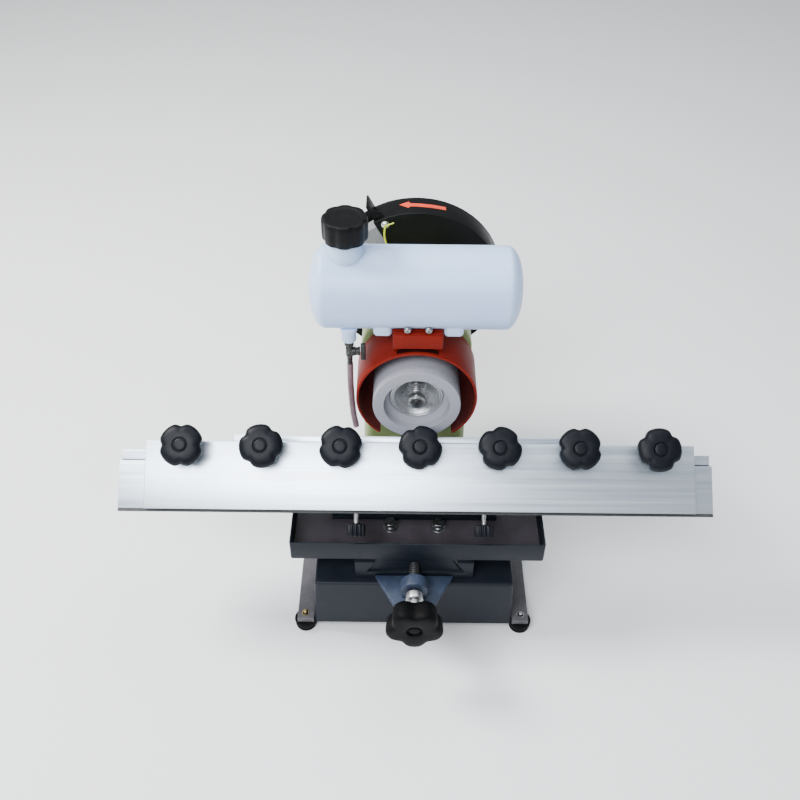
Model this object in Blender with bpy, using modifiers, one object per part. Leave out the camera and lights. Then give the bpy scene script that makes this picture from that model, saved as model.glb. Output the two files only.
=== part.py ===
"""Wet grinding sharpener for straight knives: a cup wheel on a bench motor,
a water tank over it, and a sloped knife carriage on a cross slide.

World frame: metres, +X to the right, +Y away from the operator, +Z up,
origin under the middle of the machine, on the ground.
"""
import math

import bmesh
import bpy
from mathutils import Matrix, Vector

# ---------------------------------------------------------------- dimensions
MM = 0.001
NAME = "wet_grinding_sharpener"
GAP = 0.3                 # clearance between pieces that rest on each other

AXIS_Z = 289.0            # spindle height
RIM_Y = -38.5             # front face of the cup wheel
CUP_R, CUP_BORE_R = 50.0, 37.5
GUARD_R = 69.4
MOTOR_W = 130.0
REAR_GUARD_R = 112.0

SLOPE = 39.5              # slope of the knife carriage, degrees
PLATE_Y, PLATE_Z = -89.3, 224.9
PLATE_L, PLATE_W, PLATE_T, PLATE_X = 630.0, 78.0, 8.0, 4.5
CARRIAGE_L = 684.0
RAIL_L = 430.0
KNOB_PITCH, KNOB_R, KNOB_S = 90.0, 25.0, 32.5

TANK_Y, TANK_Z, TANK_R, TANK_L, TANK_X = 19.0, 413.7, 45.7, 231.0, -3.0
CAP_X = -78.0

BOX_FRONT, BOX_BACK, BOX_TOP = -146.0, 38.0, 97.0
PLATE_BACK = 171.0        # back edge of the ground plate under box and motor
FOOT_YS = (-137.0, 150.0)
SCREW_Z = 118.0           # feed screw height
TRAY_FRONT, TRAY_BACK = -137.0, -24.0
TRAY_Z0, TRAY_Z1 = 132.0, 161.7
PIN_Y, PIN_Z = -58.0, 168.0

# --------------------------------------------------------------- preparation
for ob in list(bpy.data.objects):
    bpy.data.objects.remove(ob, do_unlink=True)

PARTS = bpy.data.collections.new(NAME)
CUTTERS = bpy.data.collections.new("cutters")
bpy.context.scene.collection.children.link(PARTS)
bpy.context.scene.collection.children.link(CUTTERS)


def material(name, rgb, rough, metal=0.0):
    m = bpy.data.materials.new(name)
    m.use_nodes = True
    b = m.node_tree.nodes["Principled BSDF"]
    b.inputs["Base Color"].default_value = (*rgb, 1.0)
    b.inputs["Roughness"].default_value = rough
    b.inputs["Metallic"].default_value = metal
    return m


def V(x, y, z):
    return Vector((x * MM, y * MM, z * MM))


def add(name, mesh, rgb=None, rough=0.5, metal=0.0, matrix=None, cutter=False):
    ob = bpy.data.objects.new(name, mesh)
    (CUTTERS if cutter else PARTS).objects.link(ob)
    if matrix is not None:
        ob.matrix_world = matrix
    if cutter:
        ob.hide_render = True
        ob.display_type = "WIRE"
    elif rgb is not None:
        if not mesh.materials:
            mesh.materials.append(material(name, rgb, rough, metal))
        else:
            mesh.materials[0] = material(name, rgb, rough, metal)
    return ob


def smooth(mesh, angle=35):
    mesh.shade_smooth()
    mesh.set_sharp_from_angle(angle=math.radians(angle))
    return mesh


def box_mesh(x0, x1, y0, y1, z0, z1, name="box"):
    bm = bmesh.new()
    bmesh.ops.create_cube(bm, size=1.0)
    for v in bm.verts:
        v.co = Vector(((x0 + x1) / 2 + v.co.x * (x1 - x0),
                       (y0 + y1) / 2 + v.co.y * (y1 - y0),
                       (z0 + z1) / 2 + v.co.z * (z1 - z0))) * MM
    me = bpy.data.meshes.new(name)
    bm.to_mesh(me)
    bm.free()
    return me


AXES = {
    "Z": Matrix.Identity(4),
    "Y": Matrix.Rotation(math.radians(-90), 4, "X"),     # local +Z -> +Y
    "X": Matrix.Rotation(math.radians(90), 4, "Y"),      # local +Z -> +X
}


def cyl_mesh(r0, r1, length, seg=32, name="cyl"):
    """Cylinder or cone from z=0 to z=length, r0 at z=0."""
    bm = bmesh.new()
    bmesh.ops.create_cone(bm, cap_ends=True, cap_tris=False, segments=seg,
                          radius1=r0 * MM, radius2=r1 * MM, depth=length * MM)
    bmesh.ops.translate(bm, verts=bm.verts, vec=(0, 0, length * MM / 2))
    me = bpy.data.meshes.new(name)
    bm.to_mesh(me)
    bm.free()
    return smooth(me)


def at(x, y, z, axis="Z"):
    return Matrix.Translation(V(x, y, z)) @ AXES[axis]


def apply_mods(ob):
    """Bake an object's modifiers into its mesh, keeping its place."""
    dg = bpy.context.evaluated_depsgraph_get()
    me = bpy.data.meshes.new_from_object(ob.evaluated_get(dg))
    old = ob.data
    if ob.type == "MESH":
        mats = [m for m in old.materials]
        ob.modifiers.clear()
        ob.data = me
        me.materials.clear()
        for m in mats:
            me.materials.append(m)
        return ob
    bm = bmesh.new()
    bm.from_mesh(me)
    bmesh.ops.remove_doubles(bm, verts=bm.verts, dist=1e-6)
    bm.to_mesh(me)
    bm.free()
    new = bpy.data.objects.new(ob.name + "_m", me)
    for c in ob.users_collection:
        c.objects.link(new)
    new.matrix_world = ob.matrix_world.copy()
    name = ob.name
    bpy.data.objects.remove(ob, do_unlink=True)
    new.name = name
    return new


def outline_mesh(pts, length, name="outline"):
    """A flat outline in local XY, extruded from z=0 to z=length."""
    cu = bpy.data.curves.new(name, "CURVE")
    cu.dimensions = "2D"
    cu.fill_mode = "BOTH"
    cu.extrude = length * MM / 2
    sp = cu.splines.new("POLY")
    sp.points.add(len(pts) - 1)
    for p, (x, y) in zip(sp.points, pts):
        p.co = (x * MM, y * MM, 0, 1)
    sp.use_cyclic_u = True
    ob = bpy.data.objects.new(name, cu)
    PARTS.objects.link(ob)
    bpy.context.view_layer.update()
    ob = apply_mods(ob)
    me = ob.data
    bpy.data.objects.remove(ob, do_unlink=True)
    me.transform(Matrix.Translation((0, 0, length * MM / 2)))
    bm = bmesh.new()
    bm.from_mesh(me)
    bmesh.ops.recalc_face_normals(bm, faces=bm.faces)
    bmesh.ops.dissolve_limit(bm, angle_limit=math.radians(0.5), verts=bm.verts,
                             edges=bm.edges)
    bm.to_mesh(me)
    bm.free()
    return me


def turned_mesh(profile, seg=40, closed=False, name="turned"):
    """Profile of (radius, z), down its outer side, turned about local Z."""
    me = bpy.data.meshes.new(name)
    bm = bmesh.new()
    vs = [bm.verts.new((r * MM, 0, z * MM)) for r, z in profile]
    for a, b in zip(vs, vs[1:] + ([vs[0]] if closed else [])):
        bm.edges.new((a, b))
    bm.to_mesh(me)
    bm.free()
    ob = bpy.data.objects.new(name, me)
    PARTS.objects.link(ob)
    m = ob.modifiers.new("turn", "SCREW")
    m.steps = seg
    m.render_steps = seg
    m.use_merge_vertices = True
    m.merge_threshold = 0.00001
    m.use_smooth_shade = True
    bpy.context.view_layer.update()
    ob = apply_mods(ob)
    out = ob.data
    bpy.data.objects.remove(ob, do_unlink=True)
    bm = bmesh.new()
    bm.from_mesh(out)
    bmesh.ops.recalc_face_normals(bm, faces=bm.faces)
    bm.to_mesh(out)
    bm.free()
    out.materials.clear()
    return smooth(out)


def boolean(ob, meshes, op="DIFFERENCE"):
    """Cut or join a list of (mesh, matrix) into ob."""
    for i, (me, mx) in enumerate(meshes):
        c = add("cut_%s_%s_%d" % (ob.name, op[:3].lower(), i), me, matrix=mx, cutter=True)
        m = ob.modifiers.new(op[:4].lower() + str(i), "BOOLEAN")
        m.operation = op
        m.solver = "EXACT"
        m.object = c
    bpy.context.view_layer.update()
    return apply_mods(ob)


def bevel(ob, width, seg=1, angle=40):
    m = ob.modifiers.new("bevel", "BEVEL")
    m.width = width * MM
    m.segments = seg
    m.limit_method = "ANGLE"
    m.angle_limit = math.radians(angle)
    bpy.context.view_layer.update()
    return apply_mods(ob)


def lobed_mesh(r, depth, lobes, h, phase, seg=40, taper=0.9, power=1.4):
    """A lobed knob blank from z=0 to z=h: a cylinder with shaped sides."""
    bm = bmesh.new()
    bmesh.ops.create_cone(bm, cap_ends=True, segments=seg, radius1=1, radius2=1, depth=1)
    for v in bm.verts:
        a = math.atan2(v.co.y, v.co.x)
        rr = r - depth * (0.5 - 0.5 * math.cos(lobes * (a - phase))) ** power
        k = taper if v.co.z < 0 else 1.0
        v.co = Vector((rr * k * math.cos(a), rr * k * math.sin(a), (v.co.z + 0.5) * h)) * MM
    me = bpy.data.meshes.new("lobed")
    bm.to_mesh(me)
    bm.free()
    return me


def round_rect(w, h, r, seg=5):
    pts = []
    for cx, cz, a0 in ((w / 2 - r, h / 2 - r, 0), (-w / 2 + r, h / 2 - r, 90),
                       (-w / 2 + r, -h / 2 + r, 180), (w / 2 - r, -h / 2 + r, 270)):
        for i in range(seg + 1):
            a = math.radians(a0 + 90 * i / seg)
            pts.append((cx + r * math.cos(a), cz + r * math.sin(a)))
    return pts


# local frames: XZ outlines extruded along +Y, and YZ outlines along +X
def frame_xz(y):
    """Local x -> X, local y -> Z, local z -> -Y, starting at y and going -Y."""
    return Matrix.Translation(V(0, y, 0)) @ Matrix.Rotation(math.radians(90), 4, "X")


def frame_yz(x):
    """Local x -> Y, local y -> Z, local z -> X."""
    return Matrix.Translation(V(x, 0, 0)) @ Matrix(((0, 0, 1, 0), (1, 0, 0, 0), (0, 1, 0, 0), (0, 0, 0, 1)))


B = math.radians(SLOPE)
SL = Matrix.Translation(V(0, PLATE_Y, PLATE_Z)) @ Matrix.Rotation(B, 4, "X")   # local: x, s up the slope, n out


def slope_yz(x):
    """Outlines in (s, n), extruded along +X from x."""
    return SL @ Matrix.Translation(V(x, 0, 0)) @ Matrix(((0, 0, 1, 0), (1, 0, 0, 0), (0, 1, 0, 0), (0, 0, 0, 1)))


def slope_pt(x, s, n):
    return SL @ V(x, s, n)


# colours
GREY = (0.075, 0.09, 0.12)
ALU = (0.78, 0.82, 0.88)
BLACK = (0.012, 0.013, 0.016)
ZINC = (0.6, 0.6, 0.6)
GREEN = (0.45, 0.52, 0.22)
RED = (0.55, 0.03, 0.02)
WHITE = (0.85, 0.87, 0.9)

obs = {}


def keep(ob):
    obs[ob.name] = ob
    return ob


# ------------------------------------------------------------------- base
bx = box_mesh(-123.5, 123.5, BOX_FRONT, BOX_BACK, 16, BOX_TOP, "base_box")
bm = bmesh.new()
bm.from_mesh(bx)
for v in bm.verts:
    if v.co.z > 0.05:
        v.co.x *= 119.0 / 123.5
bmesh.ops.delete(bm, geom=[f for f in bm.faces if f.normal.z < -0.9], context="FACES_ONLY")
bm.to_mesh(bx)
bm.free()
base_box = add("base_box", bx, GREY, 0.45)
sol = base_box.modifiers.new("wall", "SOLIDIFY")
sol.thickness = 3 * MM
sol.offset = -1
sol.use_even_offset = True
bpy.context.view_layer.update()
base_box = keep(bevel(apply_mods(base_box), 1.5, 1, 60))

gp = add("base_plate", box_mesh(-144.5, 144.5, BOX_FRONT, PLATE_BACK, 14, 22), GREY, 0.45)
keep(boolean(gp, [(box_mesh(-124, 124, BOX_FRONT - 20, BOX_BACK + 0.5, 5, 30), None)]
             + [(cyl_mesh(3.4, 3.4, 20, 16), at(sx * 135, yy, 10)) for sx in (-1, 1) for yy in FOOT_YS]))

foot = turned_mesh([(0, 27), (3, 27), (3, 13.7), (12.8, 13.7), (14, 11.5), (12.6, 0), (0, 0)], 24, name="foot")
foot.materials.append(material("rubber", BLACK, 0.7))
for i, (sx, yy) in enumerate((sx, yy) for yy in FOOT_YS for sx in (-1, 1)):
    keep(add("foot_%d" % (i + 1), foot, matrix=at(sx * 135, yy, 0)))

# cross slide
dt = add("dovetail_base", box_mesh(-70.5, 70.5, -137, -22, BOX_TOP + GAP, 127), GREY, 0.45)
groove = outline_mesh([(-57.0, 108), (61.0, 108), (49.5, 128.0), (-45.5, 128.0)], 160)
keep(boolean(dt, [(groove, frame_xz(10))]))
sad = add("saddle", outline_mesh([(-55.5, 110), (55.5, 110), (45.7, 127), (45.7, 127.5), (66, 127.6),
                                  (66, TRAY_Z0 - GAP), (-66, TRAY_Z0 - GAP), (-66, 127.7), (-45.7, 127.8),
                                  (-45.7, 127)], 110), GREY, 0.45, matrix=frame_xz(-24))
keep(boolean(sad, [(cyl_mesh(6.4, 6.4, 140, 20), at(0, -150, SCREW_Z, "Y"))]
             + [(cyl_mesh(4.5, 4.5, 30, 16), at(sx * 29, -90, 120)) for sx in (-1, 1)]))
keep(add("gib_strip", outline_mesh([(56.1, 110), (59.3, 110), (49.5, 127), (46.3, 127)], 106),
         ZINC, 0.4, 1.0, matrix=frame_xz(-26)))

web = outline_mesh([(-47, -137.6), (-24, -179), (24, -179), (47, -137.6)], 6)
sb = add("screw_bracket", web, GREY, 0.45, matrix=Matrix.Translation(V(0, 0, BOX_TOP + 0.5)))
sb = boolean(sb, [(cyl_mesh(16, 16, 15, 32), at(0, -172, SCREW_Z, "Y")),
                  (box_mesh(-11, 11, -171.5, -157.5, 99, 117), None)], "UNION")
keep(boolean(sb, [(cyl_mesh(6.4, 6.4, 40, 20), at(0, -185, SCREW_Z, "Y"))]))

keep(add("feed_screw", turned_mesh([(0, 0), (5, 0), (5, 20), (8, 20), (8, 27), (10.3, 27), (10.3, 35.5), (6, 35.5),
                                    (6, 160), (0, 160)][::-1], 24), ZINC, 0.35, 1.0,
         matrix=at(0, -215.5, SCREW_Z + 0.0, "Y")))
fk_ = add("feed_knob", lobed_mesh(33, 5.0, 5, 22, math.radians(-90), 40, 0.93), BLACK, 0.4,
          matrix=at(0, -204, SCREW_Z, "Y") @ Matrix.Rotation(math.pi, 4, "X"))
fk_ = bevel(fk_, 3.0, 1, 50)
fk_ = boolean(fk_, [(cyl_mesh(12, 12, 12, 24), at(0, -208, SCREW_Z, "Y"))], "UNION")
keep(boolean(fk_, [(cyl_mesh(5.4, 5.4, 40, 20), at(0, -216, SCREW_Z, "Y"))]))

# ------------------------------------------------------------ motor and pedestal
ped = add("motor_pedestal", outline_mesh(round_rect(MOTOR_W, 126, 12, 3), 225), GREEN, 0.4,
          matrix=Matrix.Translation(V(0, 107, 22 + GAP)))
MOT_PTS = round_rect(MOTOR_W, 127, 40, 6)
mot_cut = outline_mesh([(x * 1.006, z * 1.006) for x, z in MOT_PTS], 200)
keep(boolean(ped, [(outline_mesh(round_rect(MOTOR_W - 10, 116, 8, 3), 183), Matrix.Translation(V(0, 107, 20))),
                   (mot_cut, frame_xz(220) @ Matrix.Translation(V(0, AXIS_Z, 0))),
                   (box_mesh(55, 75, 98, 118, 139, 161), None)]))
mh = add("motor_housing", outline_mesh(MOT_PTS, 114), GREEN, 0.4,
         matrix=frame_xz(170) @ Matrix.Translation(V(0, AXIS_Z, 0)))
keep(boolean(mh, [(outline_mesh(round_rect(MOTOR_W - 10, 117, 36, 6), 160), frame_xz(190) @ Matrix.Translation(V(0, AXIS_Z, 0)))]))
for nm, y1, ln in (("motor_end_front", 55.7, 19.7), ("motor_end_rear", 186.0, 15.7)):
    e = add(nm, outline_mesh(MOT_PTS, ln), GREEN, 0.4, matrix=frame_xz(y1) @ Matrix.Translation(V(0, AXIS_Z, 0)))
    keep(boolean(e, [(cyl_mesh(20.2, 20.2, 40, 32), at(0, y1 - 30, AXIS_Z, "Y"))]))
ring = [(19.9, 12), (19.9, 0), (8.7, 0), (8.7, 12)]
for nm, y0 in (("bearing_front", 39.0), ("bearing_rear", 172.0)):
    keep(add(nm, turned_mesh(ring, 28, True), ZINC, 0.3, 1.0, matrix=at(0, y0, AXIS_Z, "Y")))
keep(add("stator_core", turned_mesh([(57, 70), (57, 0), (36, 0), (36, 70)], 28, True), (0.3, 0.2, 0.15), 0.5, 0.6,
         matrix=at(0, 75, AXIS_Z, "Y")))

# ------------------------------------------------------------ spindle
keep(add("rotor_core", turned_mesh([(35.3, 66), (35.3, 0), (8.7, 0), (8.7, 66)], 28, True), ZINC, 0.4, 1.0,
         matrix=at(0, 77, AXIS_Z, "Y")))
keep(add("spindle_shaft", turned_mesh([(0, 254.9), (8.3, 254.9), (8.3, 51), (5, 51), (5, 1), (4, 0), (0, 0)], 24), ZINC, 0.3,
         1.0, matrix=at(0, RIM_Y + 4.6, AXIS_Z, "Y")))
keep(add("cup_wheel", turned_mesh([(50, 50), (50, 1.2), (48.8, 0), (38.2, 0), (37.5, 0.7), (36.5, 9), (33.0, 13),
                                   (31, 14.5), (31, 50)], 40, True), WHITE, 0.9, matrix=at(0, RIM_Y, AXIS_Z, "Y")))
keep(add("wheel_flange", turned_mesh([(44, 55), (44, 50.3), (30.6, 50.3), (30.6, 14.2), (27, 13.6), (25, 15.5), (12, 33),
                                      (9, 34), (5.3, 34), (5.3, 55)], 32, True), ZINC, 0.3, 1.0,
         matrix=at(0, RIM_Y, AXIS_Z, "Y")))
nut = add("spindle_nut", cyl_mesh(9.2, 9.2, 7, 6), ZINC, 0.3, 1.0, matrix=at(0, RIM_Y + 6.0, AXIS_Z, "Y"))
keep(boolean(nut, [(cyl_mesh(5.3, 5.3, 20, 20), at(0, RIM_Y, AXIS_Z, "Y"))]))
keep(add("bench_wheel", turned_mesh([(100, 20), (100, 0), (8.6, 0), (8.6, 20)], 48, True), (0.35, 0.35, 0.36), 0.95,
         matrix=at(0, 197, AXIS_Z, "Y")))
keep(add("bench_flange", turned_mesh([(30, 4), (32, 0), (8.6, 0), (8.6, 4)], 28, True), ZINC, 0.4, 1.0,
         matrix=at(0, 192.5, AXIS_Z, "Y")))


# ------------------------------------------------------------ guards
def sector(r, a0, a1, length):
    pts = [(0, 0)] + [(r * math.cos(math.radians(a)), r * math.sin(math.radians(a)))
                      for a in [a0 + (a1 - a0) * i / 4 for i in range(5)]]
    return outline_mesh(pts, length)


wg = add("wheel_guard", turned_mesh([(GUARD_R, 60), (GUARD_R, 0), (GUARD_R - 3, 0), (GUARD_R - 3, 56), (14, 56), (14, 60)],
                                    44, True), RED, 0.35, matrix=at(0, RIM_Y + 10, AXIS_Z, "Y"))
keep(boolean(wg, [(sector(110, 231, 309, 90), frame_xz(40) @ Matrix.Translation(V(0, AXIS_Z, 0)))]))
gb = add("guard_bracket", box_mesh(-27.5, 27.5, -19, 30, 340, 380), RED, 0.35)
gb = boolean(gb, [(box_mesh(-27.5, 27.5, -25, -18, 361.5, 380), None), (box_mesh(-18, 18, -19, 30, 379, 389), None)], "UNION")
gb = boolean(gb, [(cyl_mesh(GUARD_R + 0.4, GUARD_R + 0.4, 90, 56), at(0, -40, AXIS_Z, "Y")),
                  (cyl_mesh(TANK_R + 0.6, TANK_R + 0.6, 120, 48), at(-60, TANK_Y, TANK_Z, "X"))])
keep(gb)
for i, sx in enumerate((-1, 1)):
    keep(add("tank_screw_%d" % (i + 1), turned_mesh([(0, 3.6), (3.1, 3.6), (4.0, 2.3), (4.0, 0), (0, 0)], 16), ZINC,
             0.35, 1.0, matrix=at(sx * 11.5, -19.4, 384.5, "Y") @ Matrix.Rotation(math.pi, 4, "X")))

rg = add("rear_guard", turned_mesh([(REAR_GUARD_R, 35), (REAR_GUARD_R, 0), (34, 0), (34, 2.5), (REAR_GUARD_R - 2.5, 2.5),
                                    (REAR_GUARD_R - 2.5, 35)], 48, True), BLACK, 0.3, matrix=at(0, 187, AXIS_Z, "Y"))
keep(boolean(rg, [(sector(170, 119, 206, 60), frame_xz(235) @ Matrix.Translation(V(0, AXIS_Z, 0))),
                  (cyl_mesh(2.9, 2.9, 20, 12), at(-39.6, 180, 384.8, "Y"))]))
keep(add("rear_guard_cover", turned_mesh([(0, 3.7), (REAR_GUARD_R - 1, 3.7), (REAR_GUARD_R, 2.7), (REAR_GUARD_R, 0), (0, 0)],
                                         48), BLACK, 0.3, matrix=at(0, 222.3, AXIS_Z, "Y")))
# the plate keeps the wheel's open side clear
ca, sa = math.cos(math.radians(118)), math.sin(math.radians(118))
sd = add("spark_deflector", box_mesh(0, 21, 190, 219, -1.25, 1.25), BLACK, 0.3,
         matrix=Matrix.Translation(V(112.4 * ca, 0, AXIS_Z + 112.4 * sa)) @ Matrix.Rotation(math.radians(-118), 4, "Y"))
tri = outline_mesh([(0.5, 1.0), (20.5, 1.0), (6, -12), (0.6, -13)], 2.5)
keep(boolean(sd, [(tri, sd.matrix_world @ frame_xz(192.5))], "UNION"))
keep(add("earth_screw", turned_mesh([(0, 9), (2.5, 9), (2.5, 3.4), (4.2, 3.4), (4.2, 1), (3, 0), (0, 0)][::1], 16), ZINC,
         0.3, 1.0, matrix=at(-39.6, 183.2, 384.8, "Y")))


def tube(name, pts, r, rgb, rough=0.5):
    cu = bpy.data.curves.new(name, "CURVE")
    cu.dimensions = "3D"
    cu.bevel_depth = r * MM
    cu.bevel_resolution = 2
    cu.use_fill_caps = True
    sp = cu.splines.new("POLY")
    sp.points.add(len(pts) - 1)
    for p, co in zip(sp.points, pts):
        p.co = (*V(*co), 1)
    cu.materials.append(material(name, rgb, rough))
    ob = bpy.data.objects.new(name, cu)
    PARTS.objects.link(ob)
    return keep(ob)


def spline(knots, n):
    """Catmull-Rom curve through the knots, n points."""
    k = [tuple(2 * a - b for a, b in zip(knots[0], knots[1]))] + list(knots) + \
        [tuple(2 * a - b for a, b in zip(knots[-1], knots[-2]))]
    out = []
    for i in range(n):
        t = i / (n - 1) * (len(knots) - 1)
        j = min(int(t), len(knots) - 2)
        u = t - j
        p0, p1, p2, p3 = k[j:j + 4]
        out.append(tuple(0.5 * (2 * b + (c - a) * u + (2 * a - 5 * b + 4 * c - d) * u * u
                                + (3 * b - a - 3 * c + d) * u ** 3) for a, b, c, d in zip(p0, p1, p2, p3)))
    return out


# ------------------------------------------------------------ tank and tap
R = TANK_R


def tank_profile(r, half):
    pts = [(0, half), (0.55 * r, half - 1.0), (0.8 * r, half - 4.0), (0.95 * r, half - 9.0), (r, half - 16)]
    return pts + [(a, -b) for a, b in pts[::-1]]


HOSE_X, HOSE_Y = -76.0, -8.0
tk = add("water_tank", turned_mesh(tank_profile(R, TANK_L / 2), 32), WHITE, 0.3, matrix=at(TANK_X, TANK_Y, TANK_Z, "X"))
tk = boolean(tk, [(cyl_mesh(19, 19, 44, 32), at(CAP_X, TANK_Y, 450)),
                  (cyl_mesh(8, 8, 22, 20), at(HOSE_X, HOSE_Y, 361)),
                  (box_mesh(-45, -28.2, -17, 30, 366, 392), None),
                  (box_mesh(28.2, 47, -17, 30, 366, 392), None)], "UNION")
tk = boolean(tk, [(turned_mesh(tank_profile(R - 2.6, TANK_L / 2 - 2.6), 32), at(TANK_X, TANK_Y, TANK_Z, "X")),
                  (cyl_mesh(15.5, 15.5, 70, 28), at(CAP_X, TANK_Y, 430)),
                  (cyl_mesh(2.6, 2.6, 40, 12), at(HOSE_X, HOSE_Y, 350))])
keep(tk)
cap = add("tank_cap", lobed_mesh(24.4, 1.4, 8, 25.6, 0.0, 40, 0.98), BLACK, 0.4, matrix=at(CAP_X, TANK_Y, 476.2))
cap = bevel(cap, 1.6, 1, 50)
keep(boolean(cap, [(cyl_mesh(19.5, 19.5, 30, 32), at(CAP_X, TANK_Y, 464.8))]))
tp = add("tap_body", cyl_mesh(3.4, 3.4, 34.7, 20), (0.16, 0.17, 0.18), 0.45, matrix=at(HOSE_X, HOSE_Y, 326))
keep(boolean(tp, [(cyl_mesh(5.2, 5.2, 12, 20), at(HOSE_X, HOSE_Y, 344, "X")),
                  (cyl_mesh(5.5, 5.5, 5, 20), at(HOSE_X, HOSE_Y, 354))], "UNION"))
keep(add("tap_lever", box_mesh(-63.6, -58, -11, -5, 332, 355), (0.2, 0.2, 0.21), 0.45))
bevel(obs["tap_lever"], 1.2, 1)
HOSE = spline([(HOSE_X, HOSE_Y, 325.6), (-76.2, HOSE_Y, 300), (-75.6, -8.5, 275), (-74.2, -9.5, 250), (-71.2, -11, 229)], 15)
tube("water_hose", HOSE, 3.6, (0.5, 0.42, 0.5), 0.3)
WIRE = spline([(-39.6, 181.6, 385), (-40.5, 179.5, 374), (-38, 177.5, 362), (-34, 177, 353.2)], 12)
tube("earth_wire", WIRE, 1.1, (0.55, 0.6, 0.05), 0.5)

# ------------------------------------------------------------ switch
bz = add("switch_bezel", box_mesh(65.3, 68.3, 93, 123, 135, 165), BLACK, 0.4)
keep(boolean(bz, [(box_mesh(60, 75, 99, 117, 140, 160), None)]))
keep(bevel(add("switch_rocker", box_mesh(60, 71, 100.5, 115.5, 142, 158), (0.4, 0.02, 0.02), 0.4), 1.0))

# ------------------------------------------------------------ tray
tx0, tx1 = -145.5, 151.5
tm = box_mesh(tx0, tx1, TRAY_FRONT, TRAY_BACK, TRAY_Z0, TRAY_Z1)
bm = bmesh.new()
bm.from_mesh(tm)
bmesh.ops.delete(bm, geom=[f for f in bm.faces if f.normal.z > 0.9], context="FACES_ONLY")
bm.to_mesh(tm)
bm.free()
tr = add("tray", tm, GREY, 0.45)
sol = tr.modifiers.new("wall", "SOLIDIFY")
sol.thickness = 2 * MM
sol.offset = -1
sol.use_even_offset = True
bpy.context.view_layer.update()
keep(boolean(apply_mods(tr), [(cyl_mesh(4.5, 4.5, 20, 16), at(sx * 29, -90, 125)) for sx in (-1, 1)]))
bolt = turned_mesh([(0, 12.5), (6.2, 12.5), (7.2, 11.5), (7.2, 6.8), (6.6, 6.8), (6.6, 2), (8.6, 2), (8.6, 0.3), (4.1, 0.3),
                    (4.1, -12), (0, -12)], 18)
bolt.materials.append(material("bolt", ZINC, 0.35, 1.0))
for i, sx in enumerate((-1, 1)):
    keep(add("tray_bolt_%d" % (i + 1), bolt, matrix=at(sx * 29, -90, TRAY_Z0 + 2)))

# tilt bracket: foot plate and two ears
tb = add("tilt_bracket", box_mesh(-100, 100, -78, -38, TRAY_Z0 + 2.3, TRAY_Z0 + 7), GREY, 0.45)


def hull_outline(ps, cy, cz, r, n=9, a0=180, a1=360):
    arc = [(cy + r * math.cos(math.radians(a0 + (a1 - a0) * i / n)), cz + r * math.sin(math.radians(a0 + (a1 - a0) * i / n)))
           for i in range(n + 1)]
    return arc + ps


ear = outline_mesh(hull_outline([(-76, TRAY_Z0 + 4), (-40, TRAY_Z0 + 4)], PIN_Y, PIN_Z, 11, 9, 0, 180), 8)
tb = boolean(tb, [(ear, frame_yz(91)), (ear.copy(), frame_yz(-99))], "UNION")
keep(boolean(tb, [(cyl_mesh(5.4, 5.4, 240, 20), at(-120, PIN_Y, PIN_Z, "X"))]))
keep(add("tilt_pin", cyl_mesh(5, 5, 208, 20), ZINC, 0.4, 1.0, matrix=at(-104, PIN_Y, PIN_Z, "X")))

# ------------------------------------------------------------ rail
rail_pts = [(-20, -44), (49, -44), (49, -30), (4.6, -30), (4.6, -32.6), (8.7, -32.6), (8.7, -39.6), (-8.7, -39.6),
            (-8.7, -32.6), (-4.6, -32.6), (-4.6, -30), (-20, -30)]
rl = add("guide_rail", outline_mesh(rail_pts, RAIL_L), ALU, 0.35, 1.0, matrix=slope_yz(-RAIL_L / 2))
p1, p2 = slope_pt(0, 30, -42), slope_pt(0, 0, -42)
lug = outline_mesh(hull_outline([(p1.y / MM, p1.z / MM), (p2.y / MM, p2.z / MM)], PIN_Y, PIN_Z, 11, 9, 180, 360), 12)
rl = boolean(rl, [(lug, frame_yz(77.5)), (lug.copy(), frame_yz(-89.5))], "UNION")
keep(boolean(rl, [(cyl_mesh(5.4, 5.4, 240, 20), at(-120, PIN_Y, PIN_Z, "X"))]))

# ------------------------------------------------------------ carriage
car_pts = [(-42, -29.5), (-4, -29.6), (-4, -33.1), (-8, -33.15), (-8, -39), (8, -39), (8, -33.1), (4, -33.2), (4, -29.65),
           (29, -29.7), (29, -17), (16.6, -17), (16.55, -8.3), (-42, -8.3)]
car = add("carriage", outline_mesh(car_pts, CARRIAGE_L), ALU, 0.35, 1.0, matrix=slope_yz(-CARRIAGE_L / 2))
ROD_N, ROD_X = -12.5, 73.5
keep(boolean(car, [(cyl_mesh(3.35, 3.35, 80, 16), SL @ Matrix.Translation(V(PLATE_X + 1 + sx * ROD_X, -60, ROD_N)) @ AXES["Y"])
                   for sx in (-1, 1)]))
pl = add("clamp_plate", box_mesh(PLATE_X - PLATE_L / 2, PLATE_X + PLATE_L / 2, -PLATE_W / 2, PLATE_W / 2, -PLATE_T, 0),
         ALU, 0.3, 1.0, matrix=SL)
xs = [PLATE_X + (k - 3) * KNOB_PITCH for k in range(7)]
keep(boolean(pl, [(cyl_mesh(4.4, 4.4, 20, 16), SL @ Matrix.Translation(V(x, KNOB_S, -14))) for x in xs]))

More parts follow.
